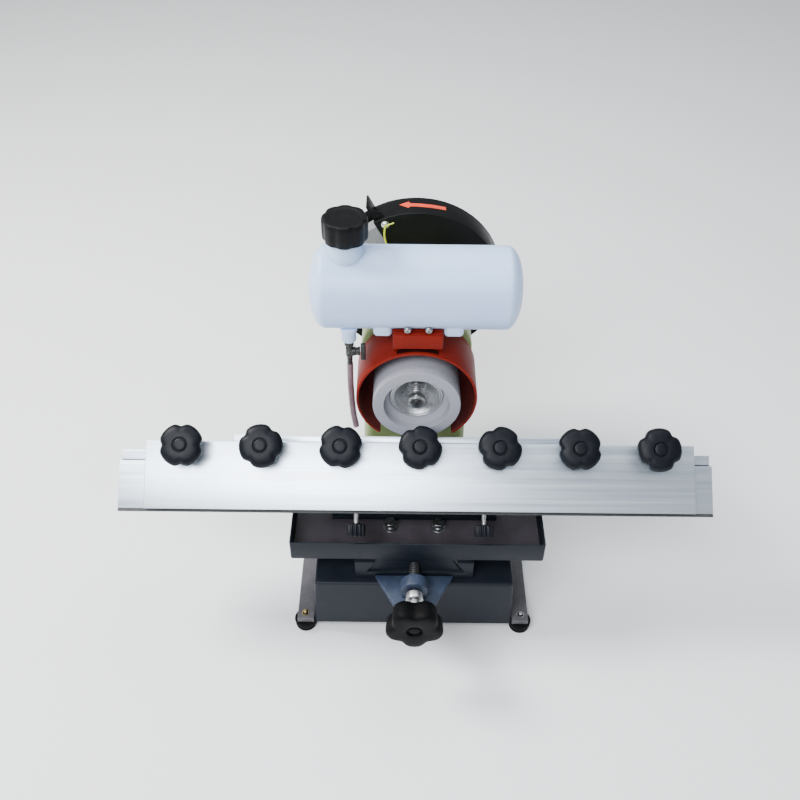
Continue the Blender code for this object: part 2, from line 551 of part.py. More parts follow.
kb = add("clamp_knob_1", lobed_mesh(KNOB_R, 4.0, 4, 22, math.radians(45), 32, 0.88, 3.0), BLACK, 0.4,
         matrix=SL @ Matrix.Translation(V(xs[0], KNOB_S, 5.5)))
kb = bevel(kb, 4.5, 1, 50)
kb = boolean(kb, [(turned_mesh([(0, 3), (10, 3), (10, -3.5), (4, -3.5), (4, -13.2), (0, -13.2)], 12), kb.matrix_world.copy())],
             "UNION")
kmesh = smooth(kb.data, 40)
keep(kb)
SPINS = (1, 56, -7, 22, 22, 1, 48)
for k in range(7):
    mx = SL @ Matrix.Translation(V(xs[k], KNOB_S, 5.5)) @ Matrix.Rotation(math.radians(SPINS[k]), 4, "Z")
    if k == 0:
        kb.matrix_world = mx
    else:
        keep(add("clamp_knob_%d" % (k + 1), kmesh, matrix=mx))

for i, sx in enumerate((-1, 1)):
    mx = SL @ Matrix.Translation(V(PLATE_X + 1 + sx * ROD_X, -68, ROD_N)) @ AXES["Y"]
    st = add("stop_screw_%d" % (i + 1), lobed_mesh(11, 0.9, 10, 14, 0, 40, 1.0), BLACK, 0.4, matrix=mx)
    keep(boolean(st, [(cyl_mesh(3, 3, 80, 16), mx @ Matrix.Translation(V(0, 0, 4)))], "UNION"))

# ------------------------------------------------------------ joint axes as empties
GROUPS = {
    "axis_spindle": (V(0, RIM_Y, AXIS_Z), ["rotor_core", "spindle_shaft", "cup_wheel", "wheel_flange", "spindle_nut",
                                           "bench_wheel", "bench_flange"]),
    "axis_feed_screw": (V(0, -215.5, SCREW_Z), ["feed_screw", "feed_knob"]),
    "axis_tilt": (V(0, PIN_Y, PIN_Z), ["guide_rail", "tilt_pin"]),
    "axis_table": (V(0, -80, TRAY_Z0), ["saddle", "tray", "tilt_bracket", "tray_bolt_1", "tray_bolt_2"]),
    "axis_carriage": (SL @ V(0, 0, -30), ["carriage", "clamp_plate"]),
    "axis_tap": (V(-60, HOSE_Y, 344), ["tap_lever"]),
    "axis_switch": (V(65, 108, 150), ["switch_rocker"]),
}
for nm, (loc, kids) in GROUPS.items():
    em = bpy.data.objects.new(nm, None)
    em.location = loc
    PARTS.objects.link(em)
    bpy.context.view_layer.update()
    for kid in kids:
        ob = bpy.data.objects[kid]
        mx = ob.matrix_world.copy()
        ob.parent = em
        ob.matrix_parent_inverse = em.matrix_world.inverted()
        ob.matrix_world = mx
bpy.context.view_layer.update()
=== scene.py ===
import math

import bmesh
import bpy
from mathutils import Matrix, Vector


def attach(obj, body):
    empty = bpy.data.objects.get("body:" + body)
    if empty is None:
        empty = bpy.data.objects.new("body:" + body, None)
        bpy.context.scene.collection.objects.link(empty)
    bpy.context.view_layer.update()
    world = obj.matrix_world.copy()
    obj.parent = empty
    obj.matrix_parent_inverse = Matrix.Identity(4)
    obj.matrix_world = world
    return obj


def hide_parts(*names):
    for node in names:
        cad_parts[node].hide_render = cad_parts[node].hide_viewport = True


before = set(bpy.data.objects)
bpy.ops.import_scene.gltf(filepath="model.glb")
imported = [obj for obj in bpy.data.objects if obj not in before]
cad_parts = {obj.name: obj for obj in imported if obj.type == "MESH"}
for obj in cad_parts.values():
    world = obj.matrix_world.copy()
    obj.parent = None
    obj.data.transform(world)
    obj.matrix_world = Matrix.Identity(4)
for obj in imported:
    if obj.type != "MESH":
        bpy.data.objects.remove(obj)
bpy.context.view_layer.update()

# ------------------------------------------------------------------ numbers, mm, as in the CAD
MM = 0.001
AXIS_Z, RIM_Y = 289.0, -38.5
GUARD_R, MOTOR_W, REAR_R = 69.4, 130.0, 112.0
SLOPE = 39.5
PLATE_Y, PLATE_Z, PLATE_X = -89.3, 224.9, 4.5
KNOB_PITCH, KNOB_S = 90.0, 32.5
TANK_Y, TANK_Z, TANK_R, TANK_L, TANK_X, CAP_X = 19.0, 413.7, 45.7, 231.0, -3.0, -78.0
SCREW_Z = 118.0
PIN_Y, PIN_Z = -58.0, 168.0
HOSE_X, HOSE_Y = -76.0, -8.0
LINK = bpy.context.scene.collection.objects.link


def V(x, y, z):
    return Vector((x * MM, y * MM, z * MM))


# ------------------------------------------------------------------ camera, lights, floor
cd = bpy.data.cameras.new("camera")
cam = bpy.data.objects.new("camera", cd)
LINK(cam)
cd.sensor_width = 36.0
cd.lens = 41.85
cam.matrix_world = (Matrix.Translation((-0.019, -0.8019, 1.020))
                    @ Matrix.Rotation(math.radians(90 - 43.4), 4, "X")
                    @ Matrix.Rotation(math.radians(0.6), 4, "Z"))
bpy.context.scene.camera = cam


def area(name, loc, target, size, energy, color=(1, 1, 1)):
    ld = bpy.data.lights.new(name, "AREA")
    ld.shape = "RECTANGLE"
    ld.size, ld.size_y = size
    ld.energy = energy
    ld.color = color
    ob = bpy.data.objects.new(name, ld)
    LINK(ob)
    ob.location = loc
    ob.rotation_euler = (Vector(target) - Vector(loc)).to_track_quat("-Z", "Y").to_euler()
    return ob


area("key", (-1.35, 0.25, 1.75), (0, 0, 0.25), (0.6, 0.6), 62, (1, 0.99, 0.97))
area("front", (-0.75, -1.45, 2.1), (-0.05, -0.05, 0.22), (1.7, 1.1), 84, (0.93, 0.965, 1))
area("top", (0.2, 0.5, 2.0), (0, 0, 0.2), (1.6, 1.2), 22, (0.92, 0.96, 1))
world = bpy.data.worlds.new("world")
bpy.context.scene.world = world
world.use_nodes = True
world.node_tree.nodes["Background"].inputs[0].default_value = (0.95, 0.97, 1.0, 1)
world.node_tree.nodes["Background"].inputs[1].default_value = 0.4


# ------------------------------------------------------------------ materials
def mk(name, c1, c2=None, rough=(0.4, 0.5), metal=0.0, scale=60.0, stretch=(1, 1, 1), bump=0.1, bscale=900.0,
       bdist=0.0002, bstretch=(1, 1, 1), coat=0.0, coat_rough=0.15, spec=0.5, sss=0.0, sss_rad=(0.01, 0.01, 0.01),
       trans=0.0, ior=1.5, grit=None, spots=None, aniso=0.0):
    m = bpy.data.materials.new(name)
    m.use_nodes = True
    nt = m.node_tree
    N, L = nt.nodes, nt.links
    b = N["Principled BSDF"]
    tc = N.new("ShaderNodeTexCoord")
    mp = N.new("ShaderNodeMapping")
    mp.inputs["Scale"].default_value = stretch
    L.new(tc.outputs["Object"], mp.inputs["Vector"])
    n1 = N.new("ShaderNodeTexNoise")
    n1.inputs["Scale"].default_value = scale
    n1.inputs["Detail"].default_value = 6
    n1.inputs["Roughness"].default_value = 0.6
    L.new(mp.outputs["Vector"], n1.inputs["Vector"])
    ramp = N.new("ShaderNodeValToRGB")
    ramp.color_ramp.elements[0].position = 0.3
    ramp.color_ramp.elements[1].position = 0.72
    ramp.color_ramp.elements[0].color = (*c1, 1)
    ramp.color_ramp.elements[1].color = (*(c2 or [min(1, x * 1.15) for x in c1]), 1)
    L.new(n1.outputs["Fac"], ramp.inputs["Fac"])
    col = ramp.outputs["Color"]
    if spots:
        sc, amount, sc_rgb = spots
        n3 = N.new("ShaderNodeTexNoise")
        n3.inputs["Scale"].default_value = sc
        n3.inputs["Detail"].default_value = 3
        L.new(tc.outputs["Object"], n3.inputs["Vector"])
        r3 = N.new("ShaderNodeValToRGB")
        r3.color_ramp.elements[0].position = 1 - amount
        r3.color_ramp.elements[1].position = min(1, 1.08 - amount)
        L.new(n3.outputs["Fac"], r3.inputs["Fac"])
        mx = N.new("ShaderNodeMixRGB")
        mx.inputs[2].default_value = (*sc_rgb, 1)
        L.new(r3.outputs["Color"], mx.inputs[0])
        L.new(col, mx.inputs[1])
        col = mx.outputs[0]
    L.new(col, b.inputs["Base Color"])
    mr = N.new("ShaderNodeMapRange")
    mr.inputs["From Min"].default_value = 0.3
    mr.inputs["From Max"].default_value = 0.7
    mr.inputs["To Min"].default_value = rough[0]
    mr.inputs["To Max"].default_value = rough[1]
    L.new(n1.outputs["Fac"], mr.inputs["Value"])
    L.new(mr.outputs["Result"], b.inputs["Roughness"])
    mp2 = N.new("ShaderNodeMapping")
    mp2.inputs["Scale"].default_value = bstretch
    L.new(tc.outputs["Object"], mp2.inputs["Vector"])
    if grit:
        n2 = N.new("ShaderNodeTexVoronoi")
        n2.inputs["Scale"].default_value = grit
        h = n2.outputs["Distance"]
    else:
        n2 = N.new("ShaderNodeTexNoise")
        n2.inputs["Scale"].default_value = bscale
        n2.inputs["Detail"].default_value = 4
        h = n2.outputs["Fac"]
    L.new(mp2.outputs["Vector"], n2.inputs["Vector"])
    bp = N.new("ShaderNodeBump")
    bp.inputs["Strength"].default_value = bump
    bp.inputs["Distance"].default_value = bdist
    L.new(h, bp.inputs["Height"])
    L.new(bp.outputs["Normal"], b.inputs["Normal"])
    b.inputs["Metallic"].default_value = metal
    b.inputs["Coat Weight"].default_value = coat
    b.inputs["Coat Roughness"].default_value = coat_rough
    b.inputs["Specular IOR Level"].default_value = spec
    b.inputs["IOR"].default_value = ior
    b.inputs["Transmission Weight"].default_value = trans
    b.inputs["Anisotropic"].default_value = aniso
    if sss:
        b.inputs["Subsurface Weight"].default_value = sss
        b.inputs["Subsurface Radius"].default_value = sss_rad
        b.inputs["Subsurface Scale"].default_value = 1.0
    return m


M = {
    # painted reflection: the blue tint of the aluminium colour stands in for bluish light reflected by the plate,
    # carriage and rail
    "alu": mk("brushed_aluminium_painted_blue_reflection", (0.72, 0.84, 0.98), (0.86, 0.93, 1.0), (0.30, 0.44), 0.9, 1.0, (3, 260, 260), 0.25, 1.0,
              0.00008, (6, 900, 900), aniso=0.3),
    "alu_edge": mk("cut_aluminium", (0.66, 0.70, 0.75), (0.8, 0.83, 0.87), (0.35, 0.5), 0.9, 300, bump=0.15, bscale=1800),
    "black": mk("black_plastic", (0.0020, 0.0030, 0.0054), (0.0042, 0.0056, 0.0092), (0.40, 0.52), 0, 140, bump=0.16, bscale=2600,
                bdist=0.00012, spec=0.17),
    "cap": mk("cap_plastic", (0.0016, 0.0017, 0.0020), (0.0034, 0.0036, 0.0042), (0.42, 0.54), 0, 120, bump=0.14, bscale=2200,
              bdist=0.00012, spec=0.14),
    "feed": mk("feed_knob_plastic", (0.0012, 0.0012, 0.0014), (0.0030, 0.0030, 0.0034), (0.46, 0.6), 0, 90, bump=0.2, bscale=1700,
               bdist=0.00015, spec=0.07, spots=(160, 0.33, (0.0055, 0.0055, 0.006))),
    "tank": mk("tank_polythene", (0.46, 0.62, 0.92), (0.54, 0.68, 0.94), (0.30, 0.40), 0, 22, bump=0.10, bscale=260,
               bdist=0.0004, sss=0.3, sss_rad=(0.010, 0.012, 0.016), spec=0.4),
    "red": mk("red_enamel", (0.150, 0.0085, 0.0045), (0.195, 0.012, 0.006), (0.40, 0.52), 0, 40, bump=0.12, bscale=320,
              bdist=0.0003, spec=0.09),
    "green": mk("green_enamel", (0.24, 0.30, 0.12), (0.30, 0.36, 0.15), (0.34, 0.46), 0, 40, bump=0.14, bscale=300,
                bdist=0.0004, coat=0.1, coat_rough=0.25, spec=0.3),
    "grey": mk("slate_enamel", (0.0064, 0.0086, 0.0135), (0.0094, 0.0124, 0.0188), (0.42, 0.56), 0, 55, bump=0.25, bscale=420,
               bdist=0.0003, spec=0.17, spots=(240, 0.28, (0.0145, 0.018, 0.025))),
    # painted reflection: a lighter, bluer copy of the slate enamel standing in for bluish light reflected by the
    # upward-facing web and boss; the strong bump is the cast texture
    "cast_and_painted_sheen": mk("slate_enamel_cast_painted_sheen", (0.0180, 0.027, 0.050), (0.029, 0.042, 0.073), (0.40, 0.54), 0, 80, bump=0.5, bscale=520,
               bdist=0.0006, spec=0.28, spots=(200, 0.30, (0.042, 0.057, 0.092))),
    "gloss": mk("black_enamel", (0.0022, 0.0024, 0.0028), (0.0042, 0.0045, 0.005), (0.34, 0.46), 0, 45, bump=0.1, bscale=300,
                bdist=0.0003, spec=0.16),
    "zinc": mk("zinc_plate", (0.56, 0.57, 0.58), (0.72, 0.72, 0.71), (0.22, 0.4), 1.0, 260, bump=0.15, bscale=1500,
               bdist=0.0001),
    "steel": mk("turned_steel", (0.50, 0.51, 0.53), (0.70, 0.71, 0.73), (0.2, 0.36), 1.0, 420, bump=0.2, bscale=1400,
                bdist=0.0001, spots=(300, 0.36, (0.30, 0.30, 0.31))),
    "brass": mk("yellow_zinc", (0.60, 0.43, 0.16), (0.72, 0.55, 0.24), (0.28, 0.42), 1.0, 200, bump=0.1, bscale=1500),
    "white_stone": mk("white_corundum", (0.28, 0.28, 0.325), (0.36, 0.36, 0.405), (0.85, 0.95), 0, 700, bump=0.55,
                      grit=1500, bdist=0.00035, spec=0.10, spots=(1300, 0.36, (0.22, 0.23, 0.28))),
    "grey_stone": mk("grey_corundum", (0.16, 0.16, 0.165), (0.34, 0.34, 0.345), (0.85, 0.95), 0, 900, bump=0.7, grit=1300,
                     bdist=0.0005, spec=0.2),
    "rubber": mk("black_rubber", (0.0018, 0.0018, 0.002), (0.004, 0.004, 0.0044), (0.62, 0.78), 0, 90, bump=0.3, bscale=1300,
                 bdist=0.0002, spec=0.1),
    "tap": mk("tap_plastic", (0.016, 0.0165, 0.0155), (0.040, 0.041, 0.038), (0.30, 0.46), 0.2, 160, bump=0.2, bscale=1200,
              bdist=0.0002, spec=0.35, spots=(420, 0.42, (0.12, 0.122, 0.115))),
    "hose": mk("hose_plastic", (0.19, 0.115, 0.135), (0.29, 0.20, 0.225), (0.26, 0.38), 0, 70, bump=0.08, bscale=500,
               trans=0.2, ior=1.35, spec=0.25),
    "wire": mk("earth_wire_sheath", (0.42, 0.52, 0.02), (0.66, 0.66, 0.03), (0.4, 0.5), 0, 180, bump=0.05, bscale=800),
    "copper": mk("copper_end", (0.75, 0.36, 0.2), (0.85, 0.5, 0.3), (0.3, 0.4), 1.0, 300),
    "arrow": mk("red_marking", (0.62, 0.05, 0.02), (0.72, 0.08, 0.03), (0.35, 0.45), 0, 120, bump=0.05, bscale=900),
    "core": mk("laminated_steel", (0.2, 0.2, 0.21), (0.34, 0.34, 0.35), (0.35, 0.5), 1.0, 1.0, (60, 1600, 60), 0.3, 1.0,
               0.0002, (60, 2400, 60)),
    # painted reflection: the brownish tone of the ground plate stands in for shade and reflected light on its side
    # strips; the lighter spots are random tone
    "strip": mk("slate_enamel_painted_reflection", (0.070, 0.067, 0.075), (0.105, 0.10, 0.11), (0.38, 0.52), 0, 60, bump=0.25, bscale=420,
                bdist=0.0003, spec=0.25, spots=(240, 0.30, (0.14, 0.135, 0.14))),
    # painted reflection: the tray floor's lighter brownish tone stands in for light reflected by the upward-facing
    # floor; the spots are random tone
    "tray_floor_painted_light": mk("tray_floor_painted_reflection", (0.036, 0.030, 0.036), (0.056, 0.049, 0.057), (0.36, 0.5), 0, 30, bump=0.25, bscale=300,
                  bdist=0.0003, spec=0.3, spots=(120, 0.28, (0.08, 0.072, 0.078))),
    # painted shade: a darker copy of the red enamel standing in for the shade inside the cup guard
    "red_painted_shade": mk("red_enamel_painted_shade", (0.070, 0.008, 0.007), (0.11, 0.012, 0.010), (0.5, 0.65), 0, 60, bump=0.2, bscale=420,
                 bdist=0.0003, spec=0.25),
    "oily": mk("oiled_steel", (0.085, 0.085, 0.09), (0.19, 0.19, 0.20), (0.25, 0.42), 1.0, 260, bump=0.2, bscale=1200,
               bdist=0.0001),
    "dull": mk("dull_zinc", (0.24, 0.245, 0.25), (0.40, 0.40, 0.40), (0.3, 0.45), 1.0, 260, bump=0.2, bscale=1200,
               bdist=0.0001),
    # painted shade: a dark copy of the aluminium for faces that turn down into shade
    "alu_painted_shade": mk("aluminium_painted_shade", (0.050, 0.052, 0.054), (0.085, 0.087, 0.09), (0.5, 0.65), 0.2, 300, bump=0.15,
                    bscale=900, bdist=0.0001, spec=0.2),
    "bright": mk("bright_zinc", (0.72, 0.73, 0.74), (0.84, 0.84, 0.84), (0.16, 0.24), 1.0, 90, bump=0.03, bscale=900,
                 bdist=0.00005),
    "collar": mk("collar_steel", (0.55, 0.56, 0.57), (0.68, 0.69, 0.70), (0.30, 0.38), 1.0, 60, bump=0.03, bscale=900,
                 bdist=0.00005),
    "backing": mk("cup_backing_zinc", (0.36, 0.37, 0.39), (0.62, 0.63, 0.64), (0.36, 0.56), 1.0, 320, bump=0.45, bscale=900,
                  bdist=0.0002, spots=(260, 0.38, (0.22, 0.225, 0.235))),
    # painted shadow: dark red-black paint for the band the tank saddle shades on top of the guard
    "bracket_shadow": mk("bracket_shadow_paint", (0.010, 0.0022, 0.0020), (0.022, 0.0040, 0.0034), (0.5, 0.7), 0, 160, bump=0.3, bscale=700,
               bdist=0.0003, spec=0.1),
    # dark steel that also carries painted shade: it darkens the feed-screw thread behind the boss and the spindle's
    # nose tip
    "dark_steel_and_painted_shade": mk("dark_steel_and_painted_shade", (0.020, 0.021, 0.023), (0.046, 0.047, 0.050), (0.36, 0.5), 0.5, 240, bump=0.15, bscale=1400,
                     bdist=0.0001, spec=0.3),
    "rocker": mk("red_rocker", (0.42, 0.015, 0.012), (0.5, 0.022, 0.016), (0.25, 0.35), 0, 90, bump=0.05, bscale=900),
    "floor": mk("pale_floor", (0.90, 0.905, 0.915), (0.915, 0.92, 0.93), (0.75, 0.85), 0, 6, bump=0.02, bscale=90, spec=0.2),
}

bm_ = bmesh.new()
bmesh.ops.create_grid(bm_, x_segments=2, y_segments=2, size=6.0)
fm = bpy.data.meshes.new("floor")
bm_.to_mesh(fm)
bm_.free()
fm.materials.append(M["floor"])
floor = bpy.data.objects.new("floor", fm)
LINK(floor)
floor.location = (0, 0, -0.0004)

# ------------------------------------------------------------------ mesh tools
AXES = {"Z": Matrix.Identity(4), "Y": Matrix.Rotation(math.radians(-90), 4, "X"),
        "X": Matrix.Rotation(math.radians(90), 4, "Y")}
B = math.radians(SLOPE)
SL = Matrix.Translation(V(0, PLATE_Y, PLATE_Z)) @ Matrix.Rotation(B, 4, "X")
YZ = Matrix(((0, 0, 1, 0), (1, 0, 0, 0), (0, 1, 0, 0), (0, 0, 0, 1)))


def at(x, y, z, axis="Z"):
    return Matrix.Translation(V(x, y, z)) @ AXES[axis]


def frame_xz(y):
    return Matrix.Translation(V(0, y, 0)) @ Matrix.Rotation(math.radians(90), 4, "X")


def frame_yz(x):
    return Matrix.Translation(V(x, 0, 0)) @ YZ


def slope_yz(x):
    return SL @ Matrix.Translation(V(x, 0, 0)) @ YZ


def done(bm, name, angle=32):
    bmesh.ops.remove_doubles(bm, verts=bm.verts, dist=1e-7)
    bmesh.ops.recalc_face_normals(bm, faces=bm.faces)
    me = bpy.data.meshes.new(name)
    bm.to_mesh(me)
    bm.free()
    me.shade_smooth()
    me.set_sharp_from_angle(angle=math.radians(angle))
    return me


def grid(rows, seg, fn, closed=False, name="grid", angle=32):
    """Rings of points: fn(row, turn angle) -> (r, z). Radius 0 ends close the shape."""
    bm = bmesh.new()
    rings = []
    for i in range(rows):
        r0, _ = fn(i, 0.0)
        if r0 <= 1e-6:
            rings.append([bm.verts.new((0, 0, fn(i, 0.0)[1] * MM))])
            continue
        ring = []
        for j in range(seg):
            a = 2 * math.pi * j / seg
            r, z = fn(i, a)
            ring.append(bm.verts.new((r * math.cos(a) * MM, r * math.sin(a) * MM, z * MM)))
        rings.append(ring)
    pairs = list(zip(rings, rings[1:])) + ([(rings[-1], rings[0])] if closed else [])
    for p, q in pairs:
        for j in range(seg):
            k = (j + 1) % seg
            if len(p) == 1 and len(q) == 1:
                continue
            if len(p) == 1:
                bm.faces.new((p[0], q[j], q[k]))
            elif len(q) == 1:
                bm.faces.new((p[j], q[0], p[k]))
            else:
                bm.faces.new((p[j], q[j], q[k], p[k]))
    return done(bm, name, angle)


def turned(profile, seg=96, closed=False, name="turned", angle=32):
    return grid(len(profile), seg, lambda i, a: profile[i], closed, name, angle)


def rounded(profile, r=0.6, n=3, closed=False):
    """Round the corners of a profile of (r, z)."""
    out = []
    m = len(profile)
    for i, p in enumerate(profile):
        if not closed and (i == 0 or i == m - 1):
            out.append(p)
            continue
        a, c = Vector(profile[i - 1]), Vector(profile[(i + 1) % m])
        p = Vector(p)
        la, lc = (a - p).length, (c - p).length
        if la < 1e-6 or lc < 1e-6:
            continue
        u, w = (a - p) / la, (c - p) / lc
        if u.dot(w) < -0.985:
            out.append(tuple(p))
            continue
        d = min(r, la * 0.45, lc * 0.45)
        s, e = p + u * d, p + w * d
        for k in range(n + 1):
            t = k / n
            out.append(tuple((1 - t) ** 2 * s + 2 * t * (1 - t) * p + t * t * e))
    return out


def lobed(profile, lobes, depth, power=1.4, phase=0.0, seg=120, name="lobed", angle=40):
    """Profile of (r, z, weight); the weight says how far the lobes cut in there."""
    def fn(i, a):
        r, z, w = profile[i]
        return r - depth * w * (0.5 - 0.5 * math.cos(lobes * (a - phase))) ** power, z
    return grid(len(profile), seg, fn, False, name, angle)


def ring_thread(r, pitch, depth, z0, z1, seg=40, per=6, name="thread"):
    """A helical thread with closed ends."""
    n = max(2, int((z1 - z0) / pitch * per))

    def fn(i, a):
        if i == 0:
            return 0, z0
        if i == n + 2:
            return 0, z1
        z = z0 + (z1 - z0) * (i - 1) / n
        f = (z / pitch - a / (2 * math.pi)) % 1.0
        tri = 1 - abs(2 * f - 1)
        end = min(1.0, (z - z0) / pitch + 0.2, (z1 - z) / pitch + 0.2)
        return r - depth * (1 - tri * 1.0) * 1.0 - (1 - end) * depth * 0.8, z
    return grid(n + 3, seg, fn, False, name, 60)


def prism(pts, length, bev=0.0, bseg=2, name="prism", angle=32, only_long=False):
    bm = bmesh.new()
    vs = [bm.verts.new((x * MM, y * MM, 0)) for x, y in pts]
    f = bm.faces.new(vs)
    res = bmesh.ops.extrude_face_region(bm, geom=[f])
    bmesh.ops.translate(bm, verts=[g for g in res["geom"] if isinstance(g, bmesh.types.BMVert)], vec=(0, 0, length * MM))
    bmesh.ops.recalc_face_normals(bm, faces=bm.faces)
    if bev:
        ed = [e for e in bm.edges if len(e.link_faces) == 2 and e.calc_face_angle(0) > math.radians(30)]
        bmesh.ops.bevel(bm, geom=ed, offset=bev * MM, segments=bseg, profile=0.5, affect="EDGES", clamp_overlap=True)
    return done(bm, name, angle)


def rbox(x0, x1, y0, y1, z0, z1, bev=0.8, bseg=3, name="box", taper=None):
    bm = bmesh.new()
    bmesh.ops.create_cube(bm, size=1.0)
    for v in bm.verts:
        top = v.co.z > 0
        kx = taper if (taper and top) else 1.0
        v.co = Vector(((x0 + x1) / 2 + v.co.x * (x1 - x0) * kx, (y0 + y1) / 2 + v.co.y * (y1 - y0),
                       (z0 + z1) / 2 + v.co.z * (z1 - z0))) * MM
    if bev:
        bmesh.ops.bevel(bm, geom=list(bm.edges), offset=bev * MM, segments=bseg, profile=0.5, affect="EDGES")
    return done(bm, name)


def sweep(path, r_out, r_in=None, seg=20, name="sweep"):
    pts = [V(*p) for p in path]
    bm = bmesh.new()
    up = Vector((0, 1, 0.01)).normalized()
    outer, inner = [], []
    for i, p in enumerate(pts):
        t = (pts[min(i + 1, len(pts) - 1)] - pts[max(i - 1, 0)]).normalized()
        side = t.cross(up).normalized()
        nrm = side.cross(t).normalized()
        for store, r in ((outer, r_out), (inner, r_in)):
            if r:
                store.append([bm.verts.new(p + (side * math.cos(a) + nrm * math.sin(a)) * r * MM)
                              for a in [2 * math.pi * j / seg for j in range(seg)]])
    for rings, flip in ((outer, False), (inner, True)):
        for p, q in zip(rings, rings[1:]):
            for j in range(seg):
                k = (j + 1) % seg
                bm.faces.new((p[j], p[k], q[k], q[j]) if not flip else (p[j], q[j], q[k], p[k]))
    if inner:
        for e in (0, -1):
            for j in range(seg):
                k = (j + 1) % seg
                bm.faces.new((outer[e][j], outer[e][k], inner[e][k], inner[e][j]))
    else:
        bm.faces.new(outer[0])
        bm.faces.new(outer[-1])
    return done(bm, name, 50)


def joined(parts, name="joined", angle=32):
    """Several (mesh, matrix) as one mesh."""
    bm = bmesh.new()
    for me, mx in parts:
        t = me.copy()
        if mx is not None:
            t.transform(mx)
        bm.from_mesh(t)
        bpy.data.meshes.remove(t)
    me = bpy.data.meshes.new(name)
    bm.to_mesh(me)
    bm.free()
    me.shade_smooth()
    me.set_sharp_from_angle(angle=math.radians(angle))
    return me


def carve(me, mx, cutters, op="DIFFERENCE", bev=0.0, name="carved", angle=32):
    """Mesh me at mx, with each (mesh, matrix) cut out of it; the result is in world space."""
    base = bpy.data.objects.new(name, me)
    LINK(base)
    if mx is not None:
        base.matrix_world = mx
    made = []
    for i, (c, cm) in enumerate(cutters):
        o = bpy.data.objects.new("c%d" % i, c)
        LINK(o)
        if cm is not None:
            o.matrix_world = cm
        m = base.modifiers.new("b%d" % i, "BOOLEAN")
        m.operation = op
        m.solver = "EXACT"
        m.object = o
        made.append(o)
    bpy.context.view_layer.update()
    dg = bpy.context.evaluated_depsgraph_get()
    out = bpy.data.meshes.new_from_object(base.evaluated_get(dg))
    out.transform(base.matrix_world)
    for o in made + [base]:
        bpy.data.objects.remove(o, do_unlink=True)
    out.materials.clear()
    bm = bmesh.new()
    bm.from_mesh(out)
    bmesh.ops.dissolve_limit(bm, angle_limit=math.radians(0.4), verts=bm.verts, edges=bm.edges)
    if bev:
        ed = [e for e in bm.edges if len(e.link_faces) == 2 and e.calc_face_angle(0) > math.radians(38)]
        bmesh.ops.bevel(bm, geom=ed, offset=bev * MM, segments=2, profile=0.5, affect="EDGES", clamp_overlap=True)
    bmesh.ops.recalc_face_normals(bm, faces=bm.faces)
    bm.to_mesh(out)
    bm.free()
    out.shade_smooth()
    out.set_sharp_from_angle(angle=math.radians(angle))
    return out


def piece(name, me, mat, body, mx=None, repl=()):
    me = me.copy()
    me.materials.clear()
    me.materials.append(M[mat])
    if mx is not None:
        me.transform(mx)
    me.name = name
    ob = bpy.data.objects.new(name, me)
    LINK(ob)
    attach(ob, body)
    if repl:
        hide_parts(*((repl,) if isinstance(repl, str) else repl))
    return ob


def round_rect(w, h, r, seg=10):
    pts = []
    for cx, cz, a0 in ((w / 2 - r, h / 2 - r, 0), (-w / 2 + r, h / 2 - r, 90), (-w / 2 + r, -h / 2 + r, 180),
                       (w / 2 - r, -h / 2 + r, 270)):
        for i in range(seg + 1):
            a = math.radians(a0 + 90 * i / seg)
            pts.append((cx + r * math.cos(a), cz + r * math.sin(a)))
    return pts


def hexagon(af, h, bore=0.0, ch=0.8, name="hex"):
    """Hexagon head or nut, chamfered, from z=0 to z=h, with a bore."""
    r = af / 2 / math.cos(math.pi / 6)

    def hexr(a):
        k = (a + math.pi / 6) % (math.pi / 3) - math.pi / 6
        return af / 2 / math.cos(k)
    prof = [(bore, 0), (-1, 0), (-2, 0), (-2, h), (-1, h), (bore, h)] if bore else [(0, 0), (-1, 0), (-2, 0), (-2, h),
                                                                                      (-1, h), (0, h)]
    rows = [(0 if not bore else bore, 0, 0), (af / 2 * 0.96, 0, 0), (af / 2 * 1.02, ch * 0.3, 2), (0, ch, 1), (0, h - ch, 1),
            (af / 2 * 1.02, h - ch * 0.3, 2), (af / 2 * 0.96, h, 0), (0 if not bore else bore, h, 0)]

    def fn(i, a):
        rr, z, kind = rows[i]
        if kind == 1:
            return min(hexr(a), r), z
        if kind == 2:
            return min(hexr(a), rr), z
        return rr, z
    return grid(len(rows), 72, fn, bool(bore), name, 25)


def pan_head(r, h, name="pan"):
    """Domed screw head with a cross recess ring, z=0 at its seat."""
    return turned([(0, 0), (r, 0), (r, h * 0.35), (r * 0.93, h * 0.65), (r * 0.72, h * 0.9), (r * 0.4, h), (r * 0.34, h * 0.98),
                   (r * 0.3, h * 0.55), (0, h * 0.5)], 40, name=name)


def second(ob, mat, test):
    """Give the faces that pass test(centre, normal), in world space, another material."""
    me = ob.data
    me.materials.append(M[mat])
    k = len(me.materials) - 1
    mw = ob.matrix_world
    r3 = mw.to_3x3()
    for p in me.polygons:
        if test(mw @ p.center, (r3 @ p.normal).normalized()):
            p.material_index = k


